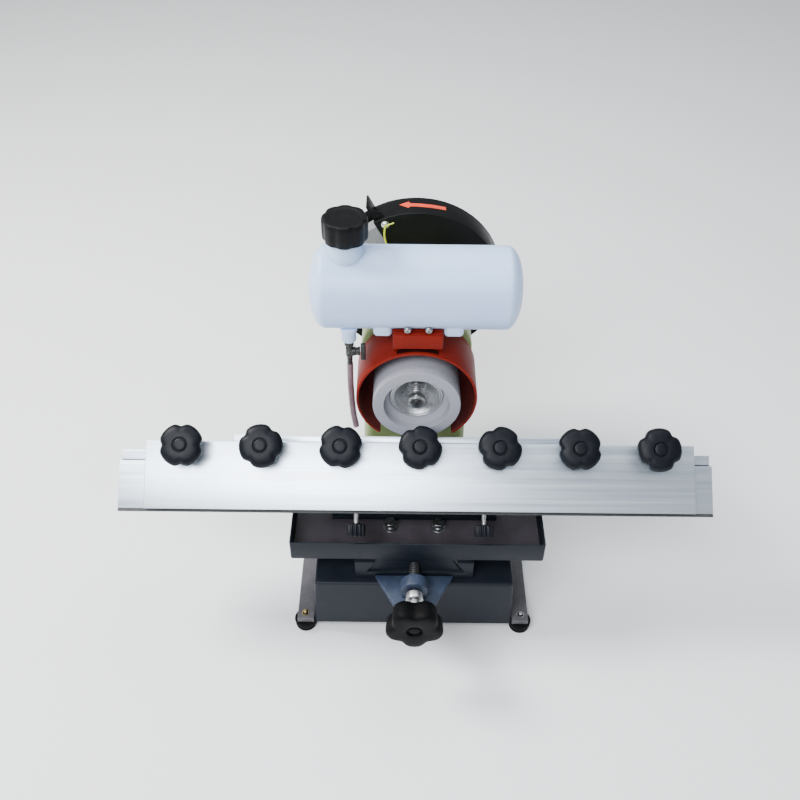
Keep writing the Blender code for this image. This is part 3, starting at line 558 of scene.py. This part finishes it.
# ------------------------------------------------------------------ base box, ground plate, feet
def shell_box():
    bm = bmesh.new()
    bmesh.ops.create_cube(bm, size=1.0)
    for v in bm.verts:
        top = v.co.z > 0
        v.co = Vector((v.co.x * 2 * (119.0 if top else 123.5), -54 + v.co.y * 184.0, 56.5 + v.co.z * 81.0)) * MM
    vert = [e for e in bm.edges if abs((e.verts[0].co - e.verts[1].co).z) > 0.05]
    bmesh.ops.bevel(bm, geom=vert, offset=5 * MM, segments=5, profile=0.5, affect="EDGES")
    top = [e for e in bm.edges if all(v.co.z > 0.0965 for v in e.verts) and len(e.link_faces) == 2
           and e.calc_face_angle(0) > 0.6]
    bmesh.ops.bevel(bm, geom=top, offset=3 * MM, segments=4, profile=0.5, affect="EDGES")
    bmesh.ops.delete(bm, geom=[f for f in bm.faces if f.normal.z < -0.9], context="FACES_ONLY")
    me = bpy.data.meshes.new("shell")
    bm.to_mesh(me)
    bm.free()
    ob = bpy.data.objects.new("shell", me)
    LINK(ob)
    s = ob.modifiers.new("wall", "SOLIDIFY")
    s.thickness = 3 * MM
    s.offset = -1
    s.use_even_offset = True
    bpy.context.view_layer.update()
    out = bpy.data.meshes.new_from_object(ob.evaluated_get(bpy.context.evaluated_depsgraph_get()))
    bpy.data.objects.remove(ob, do_unlink=True)
    out.shade_smooth()
    out.set_sharp_from_angle(angle=math.radians(35))
    return out


piece("base_shell", shell_box(), "grey", "base", repl="base_box")
gplate = carve(rbox(-144.5, 144.5, -146, 171, 14, 22, 1.4, 3), None, [(rbox(-124, 124, -170, 38.5, 5, 30, 0), None)])
beads = [(sweep([(sd * 124.2, y, 21.9 + 0.4 * math.sin(y * 1.3)) for y in range(-140, 37, 4)], 1.4, None, 10), None) for sd in (-1, 1)]
piece("ground_plate", joined([(gplate, None)] + beads), "strip", "base", repl="base_plate")
pad = turned(rounded([(0, 13.7), (12.8, 13.7), (14, 11.5), (13.4, 6.5), (13.0, 6.0), (13.0, 5.2), (13.4, 4.6), (12.6, 0), (9, 0),
                      (8, 0.8), (0, 0.8)], 0.5), 72)
for i, (sx, yy) in enumerate(((-1, -137), (1, -137), (-1, 150), (1, 150))):
    n = i + 1
    piece("foot_pad_%d" % n, pad, "rubber", "base", at(sx * 135, yy, 0), "foot_%d" % n)
    top = joined([(ring_thread(2.3, 0.8, 0.35, 13, 27.0), at(0, 0, 0)), (turned([(2.4, 22), (4.6, 22), (4.6, 22.5), (2.4, 22.5)], 40, True), None)])
    piece("foot_stud_%d" % n, top, "brass" if sx < 0 else "zinc", "base", at(sx * 135, yy, 0))
    piece("foot_nut_%d" % n, hexagon(6.4, 2.2, 2.2, 0.3), "grey", "base", at(sx * 135, yy, 22.3))

# ------------------------------------------------------------------ cross slide and feed screw
way = [(-70.5, 97.3), (70.5, 97.3), (70.5, 127), (50.1, 127), (61.0, 108), (-57.0, 108), (-46.1, 127), (-70.5, 127)]
piece("lower_slide", prism(way, 115, 1.0, 2), "grey", "base", frame_xz(-22), "dovetail_base")
male = [(-55.5, 110), (55.5, 110), (45.7, 127.2), (66, 127.6), (66, 131.7), (-66, 131.7), (-66, 127.6), (-45.7, 127.2)]
piece("upper_slide", carve(prism(male, 110, 0.8, 2), frame_xz(-24), [(turned([(0, 140), (6.4, 140), (6.4, 0), (0, 0)], 40),
                                                                     at(0, -150, SCREW_Z, "Y"))]),
      "grey", "table", None, "saddle")
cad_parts["gib_strip"].data.materials.clear()
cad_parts["gib_strip"].data.materials.append(M["dark_steel_and_painted_shade"])

web = prism([(-47, -137.6), (-24, -179), (24, -179), (47, -137.6)], 6, 1.2, 3)
boss = turned(rounded([(6.5, 0), (16, 0), (16, 15), (6.5, 15)], 1.6, 4, True), 72, True)
col = prism([(-14, -170.5), (14, -170.5), (17, -158.0), (-17, -158.0)], 15, 1.5, 3)
fillet = sweep([(x, -138.4, 103.6 + 0.3 * math.sin(x * 1.7)) for x in range(-45, 46, 3)], 1.6, None, 10)
# painted reflection: the web, boss and pillar get the lighter bluish copy of the slate enamel
piece("screw_web", joined([(web, Matrix.Translation(V(0, 0, 97.5))), (boss, at(0, -172, SCREW_Z, "Y")),
                           (col, Matrix.Translation(V(0, 0, 98)))]), "cast_and_painted_sheen", "base", None, "screw_bracket")
ls = joined([(turned(rounded([(0, 0), (5, 0), (5, 19.8), (7.8, 19.8), (7.8, 29.0), (0, 29.0)], 0.6), 72), None),
             (turned(rounded([(0, 31.0), (10.2, 31.0), (10.2, 40.2), (0, 40.2)], 1.0), 96), None)])
piece("screw_shank", turned([(0, 28.0), (6.4, 28.0), (6.4, 50.2), (0, 50.2)], 48), "oily", "feed",
      at(0, -215.5, SCREW_Z, "Y"))
# painted shade: the thread behind the boss is darkened to stand in for the shade there
piece("screw_thread", ring_thread(6.0, 3.0, 0.9, 50.3, 160, 36, 8), "dark_steel_and_painted_shade", "feed", at(0, -215.5, SCREW_Z, "Y"))
piece("lead_screw", ls, "collar", "feed", at(0, -215.5, SCREW_Z, "Y"), "feed_screw")
fprof = [(0, 8.0, 0), (5.2, 8.0, 0), (5.2, -8, 0), (11.3, -8.0, 0), (12, -7.3, 0), (12.6, -4.4, 0), (18, -3.6, 0.3), (26, -3.2, 0.8),
         (29.6, -2.2, 1), (31.8, 0.6, 1), (32.6, 5, 1), (33.2, 11, 1), (33.4, 15.8, 1), (32.9, 18.8, 1), (31.0, 20.9, 0.95), (28.4, 21.8, 0.8),
         (22, 22.0, 0.5), (15, 21.9, 0.1), (11, 21.6, 0), (9.6, 21.2, 0), (9.0, 20.3, 0), (8.7, 18.6, 0), (6.9, 18.0, 0), (6.3, 18.4, 0),
         (5.9, 19.8, 0), (5.0, 20.4, 0), (0, 20.5, 0)]
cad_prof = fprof[2:]
knob5 = lobed([(0, -8.0, 0)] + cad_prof[1:], 5, 6.4, 1.5, math.radians(-90), 200)
piece("feed_hand_knob", knob5, "feed", "feed", at(0, -204, SCREW_Z, "Y") @ Matrix.Rotation(math.pi, 4, "X"),
      "feed_knob")

# ------------------------------------------------------------------ tray and what stands in it
tx0, tx1, ty0, ty1, tz0, tz1 = -145.5, 151.5, -137.0, -24.0, 132.0, 161.7


def tray_mesh():
    bm = bmesh.new()
    bmesh.ops.create_cube(bm, size=1.0)
    for v in bm.verts:
        v.co = Vector(((tx0 + tx1) / 2 + v.co.x * (tx1 - tx0), (ty0 + ty1) / 2 + v.co.y * (ty1 - ty0),
                       (tz0 + tz1) / 2 + v.co.z * (tz1 - tz0))) * MM
    bmesh.ops.delete(bm, geom=[f for f in bm.faces if f.normal.z > 0.9], context="FACES_ONLY")
    bmesh.ops.bevel(bm, geom=[e for e in bm.edges if len(e.link_faces) == 2], offset=2.4 * MM, segments=3, profile=0.5,
                    affect="EDGES")
    me = bpy.data.meshes.new("tray")
    bm.to_mesh(me)
    bm.free()
    ob = bpy.data.objects.new("tray_tmp", me)
    LINK(ob)
    s = ob.modifiers.new("wall", "SOLIDIFY")
    s.thickness = 2 * MM
    s.offset = -1
    s.use_even_offset = True
    b = ob.modifiers.new("edge", "BEVEL")
    b.width = 0.5 * MM
    b.segments = 2
    b.limit_method = "ANGLE"
    b.angle_limit = math.radians(60)
    bpy.context.view_layer.update()
    out = bpy.data.meshes.new_from_object(ob.evaluated_get(bpy.context.evaluated_depsgraph_get()))
    bpy.data.objects.remove(ob, do_unlink=True)
    out.shade_smooth()
    out.set_sharp_from_angle(angle=math.radians(40))
    return out


tray = joined([(tray_mesh(), None), (sweep([(tx0 + 2.4, -134.6, z) for z in range(135, 160, 3)], 1.1, None, 8), None),
               (sweep([(tx1 - 2.4, -134.6, z) for z in range(135, 160, 3)], 1.1, None, 8), None)])
tr = piece("drip_tray", tray, "grey", "table", None, "tray")
# painted reflection: the upward-facing tray floor gets a lighter colour than the tray walls
second(tr, "tray_floor_painted_light", lambda c, n: n.z > 0.8 and c.z < 0.136)


def coil(r, wire, z0, z1, turns):
    pts = []
    n = int(turns * 28)
    for i in range(n + 1):
        a = 2 * math.pi * turns * i / n
        pts.append((r * math.cos(a), r * math.sin(a), z0 + (z1 - z0) * i / n))
    return sweep(pts, wire, None, 10)


for i, sx in enumerate((-1, 1)):
    n = i + 1
    mx = at(sx * 29, -90, 134)
    piece("bolt_washer_%d" % n, turned(rounded([(4.2, 0.3), (8.6, 0.3), (8.6, 1.9), (4.2, 1.9)], 0.4, 3, True), 64, True), "dull",
          "table", mx, "tray_bolt_%d" % n)
    piece("bolt_coil_%d" % n, coil(5.6, 0.95, 2.9, 6.0, 1.9), "dull", "table", mx)
    piece("bolt_head_%d" % n, joined([(hexagon(13, 5.4, 0, 0.9), at(0, 0, 6.9)), (turned([(0, 12.2), (3.9, 12.2), (3.9, -11), (0, -11)], 32), None)]),
          "oily", "table", mx @ Matrix.Rotation(0.4 * sx, 4, "Z"))

ear = [(-76, 136)] + [(-40, 136)] + [(PIN_Y + 11 * math.cos(math.radians(a)), PIN_Z + 11 * math.sin(math.radians(a)))
                                     for a in range(0, 181, 12)]
tb = joined([(rbox(-100, 100, -78, -38, 134.3, 139, 0.8, 2), None), (prism(ear, 8, 0.6, 2), frame_yz(91)),
             (prism(ear, 8, 0.6, 2), frame_yz(-99))])
piece("rail_bracket", tb, "grey", "table", None, "tilt_bracket")
piece("rail_pin", turned(rounded([(0, 0), (5, 0), (5, 208), (0, 208)], 1.0, 3), 48), "steel", "rail", at(-104, PIN_Y, PIN_Z, "X"),
      "tilt_pin")

# ------------------------------------------------------------------ rail, carriage, plate
rail_pts = [(-20, -44), (49, -44), (49, -30), (41.6, -30), (41.0, -31.0), (40.4, -30), (4.6, -30), (4.6, -32.6), (8.7, -32.6),
            (8.7, -39.6), (-8.7, -39.6), (-8.7, -32.6), (-4.6, -32.6), (-4.6, -30), (-20, -30)]


def sp(s, n):
    p = SL @ V(0, s, n)
    return (p.y / MM, p.z / MM)


lug = [sp(30, -42), sp(0, -42)] + [(PIN_Y + 11 * math.cos(math.radians(a)), PIN_Z + 11 * math.sin(math.radians(a)))
                                   for a in range(180, 361, 12)]
rl = joined([(prism(rail_pts, 430, 0.5, 2), slope_yz(-215)), (prism(lug, 12, 0.6, 2), frame_yz(77.5)),
             (prism(lug, 12, 0.6, 2), frame_yz(-89.5))])
piece("lower_rail", rl, "alu", "rail", None, "guide_rail")
car_pts = [(-42, -29.6), (-4, -29.6), (-4, -33.1), (-8, -33.1), (-8, -39), (8, -39), (8, -33.1), (4, -33.1), (4, -29.6),
           (29, -29.6), (29, -17), (18.4, -17), (18.2, -17.9), (16.9, -17.9), (16.6, -17), (16.5, -8.3), (-38.0, -8.3), (-38.4, -9.0), (-39.0, -9.0), (-39.4, -8.3),
           (-42, -8.3)]
ROD_N, ROD_X = -12.5, 73.5
kc = piece("knife_carriage", prism(car_pts, 684, 0.5, 2), "alu", "carriage", slope_yz(-342), "carriage")
tpl = piece("top_plate", rbox(PLATE_X - 315, PLATE_X + 315, -39, 39, -8, 0, 0.7, 3), "alu", "carriage", SL, "clamp_plate")

DOWN = Vector((0, -math.cos(B), -math.sin(B)))
SLI = SL.inverted()
# painted shade: the clamp plate's downward-facing faces get the dark aluminium copy
second(tpl, "alu_painted_shade", lambda c, n: n.dot(DOWN) > 0.55)
# painted shade: the carriage's lower front edge and the small groove at the step get the dark aluminium copy
second(kc, "alu_painted_shade", lambda c, n: (SLI @ c).y / MM < -38.2 or (16.7 < (SLI @ c).y / MM < 18.4 and (SLI @ c).z / MM < -17.2))

kprof = [(0, -13.2, 0), (3.6, -13.2, 0), (4.0, -12.6, 0), (4.0, -3.5, 0), (9.2, -3.5, 0), (10, -2.8, 0), (10.4, 0, 0), (17.5, 0.2, .7), (20.8, 1.0, 1),
         (22.4, 3.0, 1), (24.1, 7.5, 1), (24.9, 12, 1), (24.8, 15, 1), (23.9, 17.6, 1), (21.8, 19.7, .85), (18.4, 21.1, .5),
         (14, 21.85, .15), (10.5, 22.0, 0), (9.0, 21.95, 0), (8.5, 21.5, 0), (8.2, 20.3, 0), (7.5, 20.2, 0), (7.2, 21.0, 0),
         (6.7, 21.5, 0), (4.5, 21.8, 0), (0, 21.9, 0)]
kmesh = lobed(kprof, 4, 3.0, 6.0, math.radians(45), 224)
SPINS = (1, 56, -7, 22, 22, 1, 48)
for k in range(7):
    mx = SL @ Matrix.Translation(V(PLATE_X + (k - 3) * KNOB_PITCH, KNOB_S, 5.5)) @ Matrix.Rotation(math.radians(SPINS[k]), 4, "Z")
    piece("star_knob_%d" % (k + 1), kmesh, "black", "knob_%d" % (k + 1), mx, "clamp_knob_%d" % (k + 1))
    piece("knob_washer_%d" % (k + 1), turned(rounded([(4.2, -5.4), (9, -5.4), (9, -3.9), (4.2, -3.9)], 0.3, 2, True), 48, True), "zinc",
          "knob_%d" % (k + 1), mx)
sprof = [(0, 0, 0), (9.2, 0, .3), (10.4, 0.5, 1), (11, 1.4, 1), (11, 12.2, 1), (10.4, 13.4, 1), (8.6, 14, .3), (4.5, 14, 0), (4.2, 15.2, 0),
         (0, 15.2, 0)]
smesh = lobed(sprof, 12, 1.9, 1.3, 0, 168)
for i, sx in enumerate((-1, 1)):
    mx = SL @ Matrix.Translation(V(PLATE_X + 1 + sx * ROD_X, -68, ROD_N)) @ AXES["Y"]
    piece("stop_knob_%d" % (i + 1), smesh, "black", "stop_%d" % (i + 1), mx, "stop_screw_%d" % (i + 1))
    piece("stop_rod_%d" % (i + 1), ring_thread(3.0, 1.0, 0.35, 13, 84, 28, 5), "zinc", "stop_%d" % (i + 1), mx)

# ------------------------------------------------------------------ motor
MP = round_rect(MOTOR_W, 127, 40, 14)
MX = Matrix.Translation(V(0, AXIS_Z, 0))
piece("motor_shell", carve(prism(MP, 114), frame_xz(170) @ MX, [(prism(round_rect(MOTOR_W - 10, 117, 36, 14), 160), frame_xz(190) @ MX)],
                           bev=0.5), "green", "base", None, "motor_housing")
for nm, y1, ln, node in (("end_bell_front", 55.7, 19.7, "motor_end_front"), ("end_bell_rear", 186.0, 15.7, "motor_end_rear")):
    piece(nm, carve(prism(MP, ln, 2.0, 3), frame_xz(y1) @ MX, [(turned([(0, 60), (20.2, 60), (20.2, 0), (0, 0)], 64),
                                                              at(0, y1 - 30, AXIS_Z, "Y"))]), "green", "base", None,
          node)
for i, (sx, sz) in enumerate(((-1, -1), (1, -1), (-1, 1), (1, 1))):
    piece("tie_bolt_%d" % (i + 1), pan_head(4.0, 0.95), "zinc", "base",
          at(sx * 46, 186.0, AXIS_Z + sz * 44, "Y"))
ped_top = prism(round_rect(MOTOR_W, 126, 12, 8), 225, 1.0, 2)
ped = carve(ped_top, Matrix.Translation(V(0, 107, 22.3)), [
    (prism(round_rect(MOTOR_W - 10, 116, 8, 6), 183), Matrix.Translation(V(0, 107, 20))),
    (prism([(x * 1.006, z * 1.006) for x, z in MP], 200), frame_xz(220) @ MX),
    (rbox(55, 75, 98, 118, 139, 161, 0), None)], angle=30)
piece("pedestal", ped, "green", "base", None, "motor_pedestal")
piece("switch_frame", carve(rbox(65.3, 68.3, 93, 123, 135, 165, 0.9, 2), None, [(rbox(60, 75, 99, 117, 140, 160, 0), None)]), "cap", "base",
      None, "switch_bezel")
rk = prism([(60, 142), (70, 142), (68.4, 146), (67.7, 150), (68.4, 154), (70, 158), (60, 158)], 15, 0.6, 2)
piece("switch_key", rk, "rocker", "switch", frame_xz(115.5), "switch_rocker")
for n in ("stator_core", "rotor_core"):
    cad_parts[n].data.materials.clear()
    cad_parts[n].data.materials.append(M["core"])
for n in ("bearing_front", "bearing_rear"):
    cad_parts[n].data.materials.clear()
    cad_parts[n].data.materials.append(M["steel"])

# ------------------------------------------------------------------ spindle, cup wheel, bench wheel
SPX = at(0, RIM_Y, AXIS_Z, "Y")
cup = rounded([(50, 50), (50, 0), (37.5, 0), (36.8, 9), (34.6, 12.2), (31, 14.5), (31, 50)], 1.0, 4, True)
piece("grinding_cup", turned(cup, 160, True), "white_stone", "spindle", SPX, "cup_wheel")
fl = [(44, 55), (44, 50.3), (30.6, 50.3), (30.6, 14.6), (30.2, 14.2), (28.6, 14.0), (28.2, 14.7), (27.6, 14.7), (27.2, 14.0), (26, 13.9),
      (25, 15.2), (22.6, 18.0), (22.0, 18.4), (20.5, 20.6), (17, 25.6), (16.4, 26.0), (13, 31), (11.5, 33), (9, 34), (5.3, 34), (5.3, 55)]
piece("cup_backing", turned(rounded(fl, 0.4, 2, True), 128, True), "backing", "spindle", SPX, "wheel_flange")
sh = joined([(turned([(0, 8.5), (2.2, 7.4), (2.6, 5.0), (3.0, 4.6), (4.2, 4.6), (4.9, 5.4), (4.9, 12), (0, 12)], 56), None),
             (ring_thread(5.0, 1.5, 0.6, 12.2, 55, 48, 8), None),
             (turned(rounded([(0, 55), (8.3, 55), (8.3, 259.5), (0, 259.5)], 0.6), 64), None)])
piece("arbor", sh, "steel", "spindle", SPX, "spindle_shaft")
# bright rings stand along the nose between the backing and the nut
rings = joined([(turned([(5.0, z), (7.0, z + .1), (7.6, z + .9), (7.0, z + 1.8), (5.0, z + 2.0)], 64, True), None)
                for z in [14.4 + 3.6 * i for i in range(5)]])
piece("nose_rings", rings, "collar", "spindle", SPX)
# painted shade: the dark nose tip stands in for the shaded centre hole in the spindle's end
piece("nose_tip", turned([(0, 2.9), (1.6, 3.0), (3.4, 3.6), (4.6, 4.7), (5.0, 5.6), (5.0, 6.4), (0, 6.4)], 48), "dark_steel_and_painted_shade", "spindle",
      SPX)
piece("nose_core", turned([(5.2, 12.4), (5.7, 12.4), (5.7, 31), (5.2, 31)], 48, True), "oily", "spindle", SPX)
piece("arbor_nut", joined([(hexagon(19.0, 7.0, 5.1, 1.1), None),
                           (turned([(5.1, -0.4), (7.0, -0.4), (7.4, 0.1), (5.1, 0.3)], 48, True), None)]),
      "dull", "spindle", at(0, RIM_Y + 6.0, AXIS_Z, "Y"), "spindle_nut")
bw = rounded([(100, 20), (100, 0), (42, 0), (40, 1.0), (8.6, 1.0), (8.6, 19), (40, 19), (42, 20)], 0.8, 3, True)
piece("grey_wheel", turned(bw, 160, True), "grey_stone", "spindle", at(0, 197, AXIS_Z, "Y"), "bench_wheel")
piece("grey_wheel_flange", turned(rounded([(30, 4), (32, 0), (8.6, 0), (8.6, 4)], 0.6, 3, True), 96, True), "zinc", "spindle",
      at(0, 192.5, AXIS_Z, "Y"), "bench_flange")


# ------------------------------------------------------------------ guards
def sector(r, a0, a1, length):
    return prism([(0, 0)] + [(r * math.cos(math.radians(a0 + (a1 - a0) * i / 16)),
                              r * math.sin(math.radians(a0 + (a1 - a0) * i / 16))) for i in range(17)], length)


gp = rounded([(GUARD_R, 60), (GUARD_R, 0), (GUARD_R - 3, 0), (GUARD_R - 3, 56), (14, 56), (14, 60)], 1.1, 3, True)
cg = piece("cup_guard", carve(turned(gp, 144, True), at(0, RIM_Y + 10, AXIS_Z, "Y"), [(sector(110, 231, 309, 90), frame_xz(40) @ MX)]),
      "red", "base", None, "wheel_guard")
# painted shade: the guard's inner faces and the front face of its back wall get the darker red copy
second(cg, "red_painted_shade", lambda c, n: (n.y < -0.7 and c.y > 0.0) or n.dot(Vector((-c.x, 0, AXIS_Z * MM - c.z)).normalized()) > 0.6)
# painted shadow: a thin dark band on top of the guard, under the tank saddle, standing in for the saddle's shadow
gs = turned([(GUARD_R - 1.0, 3.4), (GUARD_R + 0.25, 3.4), (GUARD_R + 0.25, 12.6), (GUARD_R - 1.0, 12.6)], 144, True)
piece("guard_painted_shadow", carve(gs, at(0, RIM_Y + 10, AXIS_Z, "Y"), [(sector(110, 109.5, 430.5, 90), frame_xz(40) @ MX)]), "bracket_shadow", "base",
      None)
gb0 = joined([(rbox(-27.5, 27.5, -19, 30, 340, 380, 1.6, 3), None), (rbox(-27.5, 27.5, -25, -15, 361.5, 380, 1.4, 3), None),
              (rbox(-18, 18, -19, 30, 372, 389, 1.2, 3), None)])
gb = carve(gb0, None,
           [(turned([(0, 90), (GUARD_R + 0.4, 90), (GUARD_R + 0.4, 0), (0, 0)], 128), at(0, -40, AXIS_Z, "Y")),
            (turned([(0, 120), (TANK_R + 0.6, 120), (TANK_R + 0.6, 0), (0, 0)], 128), at(-60, TANK_Y, TANK_Z, "X"))])
piece("tank_saddle", gb, "red", "base", None, "guard_bracket")
for i, sx in enumerate((-1, 1)):
    piece("saddle_screw_%d" % (i + 1), pan_head(4.2, 3.3), "dull", "base",
          at(sx * 11.5, -19.4, 384.5, "Y") @ Matrix.Rotation(math.pi, 4, "X"), "tank_screw_%d" % (i + 1))

dp = rounded([(REAR_R, 35), (REAR_R, 0), (34, 0), (34, 2.5), (REAR_R - 2.5, 2.5), (REAR_R - 2.5, 35)], 1.2, 3, True)
piece("bench_guard", carve(turned(dp, 176, True), at(0, 187, AXIS_Z, "Y"),
                           [(sector(170, 119, 206, 60), frame_xz(235) @ MX),
                            (turned([(0, 20), (2.9, 20), (2.9, 0), (0, 0)], 24), at(-39.6, 180, 384.8, "Y"))]),
      "gloss", "base", None, "rear_guard")
cp = rounded([(0, 2.6), (60, 2.6), (64, 3.7), (REAR_R - 10, 3.7), (REAR_R - 6, 2.4), (REAR_R, 2.4), (REAR_R, 0), (0, 0)], 1.4, 4)
piece("bench_cover", turned(cp, 176), "gloss", "base", at(0, 222.3, AXIS_Z, "Y"), "rear_guard_cover")
for i, a in enumerate((20, 95, 215, 320)):
    piece("cover_screw_%d" % (i + 1), pan_head(3.6, 1.2), "zinc", "base",
          at(106 * math.cos(math.radians(a)), 224.7, AXIS_Z + 106 * math.sin(math.radians(a)), "Y"))
da = math.radians(118)
dmx = Matrix.Translation(V(112.4 * math.cos(da), 0, AXIS_Z + 112.4 * math.sin(da))) @ Matrix.Rotation(-da, 4, "Y")
piece("spark_plate", joined([(rbox(0, 21, 190, 219, -1.25, 1.25, 0.5, 2), dmx),
                             (prism([(0.5, 1.0), (20.5, 1.0), (6, -12), (0.6, -13)], 2.5, 0.4, 2), dmx @ frame_xz(192.5))]), "gloss", "base",
      None, "spark_deflector")


def arrow():
    """A curved arrow lying on the guard's rim, pointing to the left."""
    rows = []
    for i in range(31):
        u = -22.5 + i * 59.0 / 30                      # millimetres round the rim, from the tip
        w = 8.0 * (u + 22.5) / 13.0 if u < -9.5 else 3.6
        rows.append((u, max(w, 0.15)))
    bm = bmesh.new()
    rings = []
    for u, w in rows:
        a = math.pi / 2 - u / REAR_R
        yc = 205.5 + 0.0035 * (u - 12) ** 2
        ring = []
        for r, y in ((REAR_R + 0.03, yc - w), (REAR_R + 0.03, yc + w), (REAR_R + 0.28, yc + w), (REAR_R + 0.28, yc - w)):
            ring.append(bm.verts.new(V(r * math.cos(a), y, AXIS_Z + r * math.sin(a))))
        rings.append(ring)
    for p, q in zip(rings, rings[1:]):
        for j in range(4):
            bm.faces.new((p[j], p[(j + 1) % 4], q[(j + 1) % 4], q[j]))
    bm.faces.new(rings[0])
    bm.faces.new(rings[-1][::-1])
    return done(bm, "arrow")


piece("turn_arrow", arrow(), "arrow", "base", None)
piece("earth_bolt", joined([(pan_head(4.2, 3.4), None), (turned([(0, 0), (2.5, 0), (2.5, -5), (0, -5)], 24), None),
                            (turned(rounded([(2.6, -0.1), (5.2, -0.1), (5.2, 0.6), (2.6, 0.6)], 0.2, 2, True), 40, True), None)]), "zinc", "base",
      at(-39.6, 186.6, 384.8, "Y") @ Matrix.Rotation(math.pi, 4, "X"), "earth_screw")


def spline(knots, n):
    k = [tuple(2 * a - b for a, b in zip(knots[0], knots[1]))] + list(knots) + \
        [tuple(2 * a - b for a, b in zip(knots[-1], knots[-2]))]
    out = []
    for i in range(n):
        t = i / (n - 1) * (len(knots) - 1)
        j = min(int(t), len(knots) - 2)
        u = t - j
        p0, p1, p2, p3 = k[j:j + 4]
        out.append(tuple(0.5 * (2 * b + (c - a) * u + (2 * a - 5 * b + 4 * c - d) * u * u
                                + (3 * b - a - 3 * c + d) * u ** 3) for a, b, c, d in zip(p0, p1, p2, p3)))
    return out


WIRE = spline([(-39.6, 181.6, 385), (-40.5, 179.5, 374), (-38, 177.5, 362), (-34, 177, 353.2)], 24)
piece("earth_lead", sweep(WIRE, 1.1, None, 14), "wire", "base", None, "earth_wire")
piece("earth_lead_end", sweep([(-40.5, 181.6, 386.0), (-36.5, 180.8, 387.4), (-32, 180.4, 389.8), (-28.6, 180.4, 391.2)], 0.8, None, 12),
      "wire", "base", None)

# ------------------------------------------------------------------ tank, cap, tap, hose
half = TANK_L / 2
R = TANK_R
prof = [(0, half)]
for i in range(1, 15):
    t = i / 14 * math.pi / 2
    prof.append((R * math.sin(t) ** 0.72, half - 16 + 16 * math.cos(t) ** 1.25))
prof += [(R, half - 18), (R, 40), (R, 0)]
prof = prof + [(a, -b) for a, b in prof[-2::-1]]
tank = turned(prof, 144, angle=50)
seam = sweep([(x, TANK_Y - 45.75 * math.cos(0.10), TANK_Z + 45.75 * math.sin(0.10)) for x in range(-101, 97, 6)], 0.35, None, 8)
lugs = [(rbox(-49, -28.2, -17, 30, 371, 393, 5.0, 5), None), (rbox(28.2, 50, -17, 30, 371, 393, 5.0, 5), None)]
neck = turned(rounded([(15.5, 452), (15.5, 494), (19, 494), (19, 458), (21.5, 454), (15.5, 452)], 0.6, 3), 96)
neck = turned([(15.5, 440), (15.5, 493.2), (15.9, 494), (18.4, 494), (19, 493.2), (19, 474), (19.2, 468), (19.6, 463), (20.2, 458.5), (20.8, 454), (21.0, 450), (21.0, 440)], 96, True)
outlet = turned(rounded([(0, 361), (8, 361), (8, 372), (9.5, 376), (9.5, 380), (0, 380)], 0.8), 72)
piece("tank_shell", joined([(tank, at(TANK_X, TANK_Y, TANK_Z, "X")), (neck, at(CAP_X, TANK_Y, 0)), (outlet, at(HOSE_X, HOSE_Y, 0))] + lugs),
      "tank", "base", None, "water_tank")
cprof = [(0, 3.2, 0), (19.5, 3.2, 0), (19.5, 0, 0), (22.6, 0, .6), (23.6, 0.5, 1), (24.1, 1.5, 1), (24.4, 8, 1), (24.4, 18, 1), (24.2, 23.0, 1),
         (23.5, 24.7, 1), (22.2, 25.5, .8), (20.0, 25.6, .4), (17.4, 25.5, 0), (16.8, 25.2, 0), (16.2, 24.9, 0), (14, 24.8, 0), (8, 24.8, 0), (0, 24.8, 0)]


def cap_fn(i, a):
    r, z, w = cprof[i]
    dip = 0.5 - 0.5 * math.cos(8 * a)
    return r - w * 1.5 * dip ** 2.2, z


piece("filler_cap", joined([(grid(len(cprof), 240, cap_fn, False, "cap", 40), None)]), "cap", "cap", at(CAP_X, TANK_Y, 476.2),
      "tank_cap")
tp = joined([(turned(rounded([(0, 326), (2.6, 326), (3.1, 327), (3.1, 330), (2.7, 330.4), (2.7, 331.2), (3.2, 331.6), (3.4, 338), (4.4, 339),
                              (4.4, 350), (3.6, 351), (3.6, 353), (0, 353)], 0.3), 56), at(HOSE_X, HOSE_Y, 0)),
             (hexagon(10.4, 5.0, 0, 0.5), at(HOSE_X, HOSE_Y, 354)),
             (turned([(0, 359), (4.6, 359), (4.6, 360.6), (0, 360.6)], 48), at(HOSE_X, HOSE_Y, 0)),
             (turned(rounded([(0, 0), (5.2, 0), (5.2, 6.4), (4.4, 7), (4.4, 9), (5.1, 9.5), (5.1, 11.8), (0, 11.8)], 0.4), 56),
              at(HOSE_X, HOSE_Y, 344, "X"))])
piece("tap_valve", tp, "tap", "base", None, "tap_body")
lever = prism([(-11, 333.5), (-9.5, 332), (-6.5, 332), (-5, 333.5), (-5, 340), (-4.6, 344), (-5, 348), (-5, 353.5), (-6.5, 355),
               (-9.5, 355), (-11, 353.5), (-11, 348), (-11.4, 344), (-11, 340)], 5.6, 0.9, 3)
lever = prism([(-10.9, 333.5), (-9.5, 332.1), (-6.5, 332.1), (-5.1, 333.5), (-5.8, 340), (-5.1, 344), (-5.8, 348), (-5.1, 353.5), (-6.5, 354.9),
               (-9.5, 354.9), (-10.9, 353.5), (-10.2, 348), (-10.9, 344), (-10.2, 340)], 5.5, 0.9, 3)
piece("tap_wing", lever, "tap", "tap", frame_yz(-63.55), "tap_lever")
HOSE = spline([(HOSE_X, HOSE_Y, 325.6), (-76.2, HOSE_Y, 300), (-75.6, -8.5, 275), (-74.2, -9.5, 250), (-71.2, -11, 229)], 40)
hose = piece("drip_hose", sweep(HOSE, 3.6, 2.4, 28), "hose", "base", None, "water_hose")
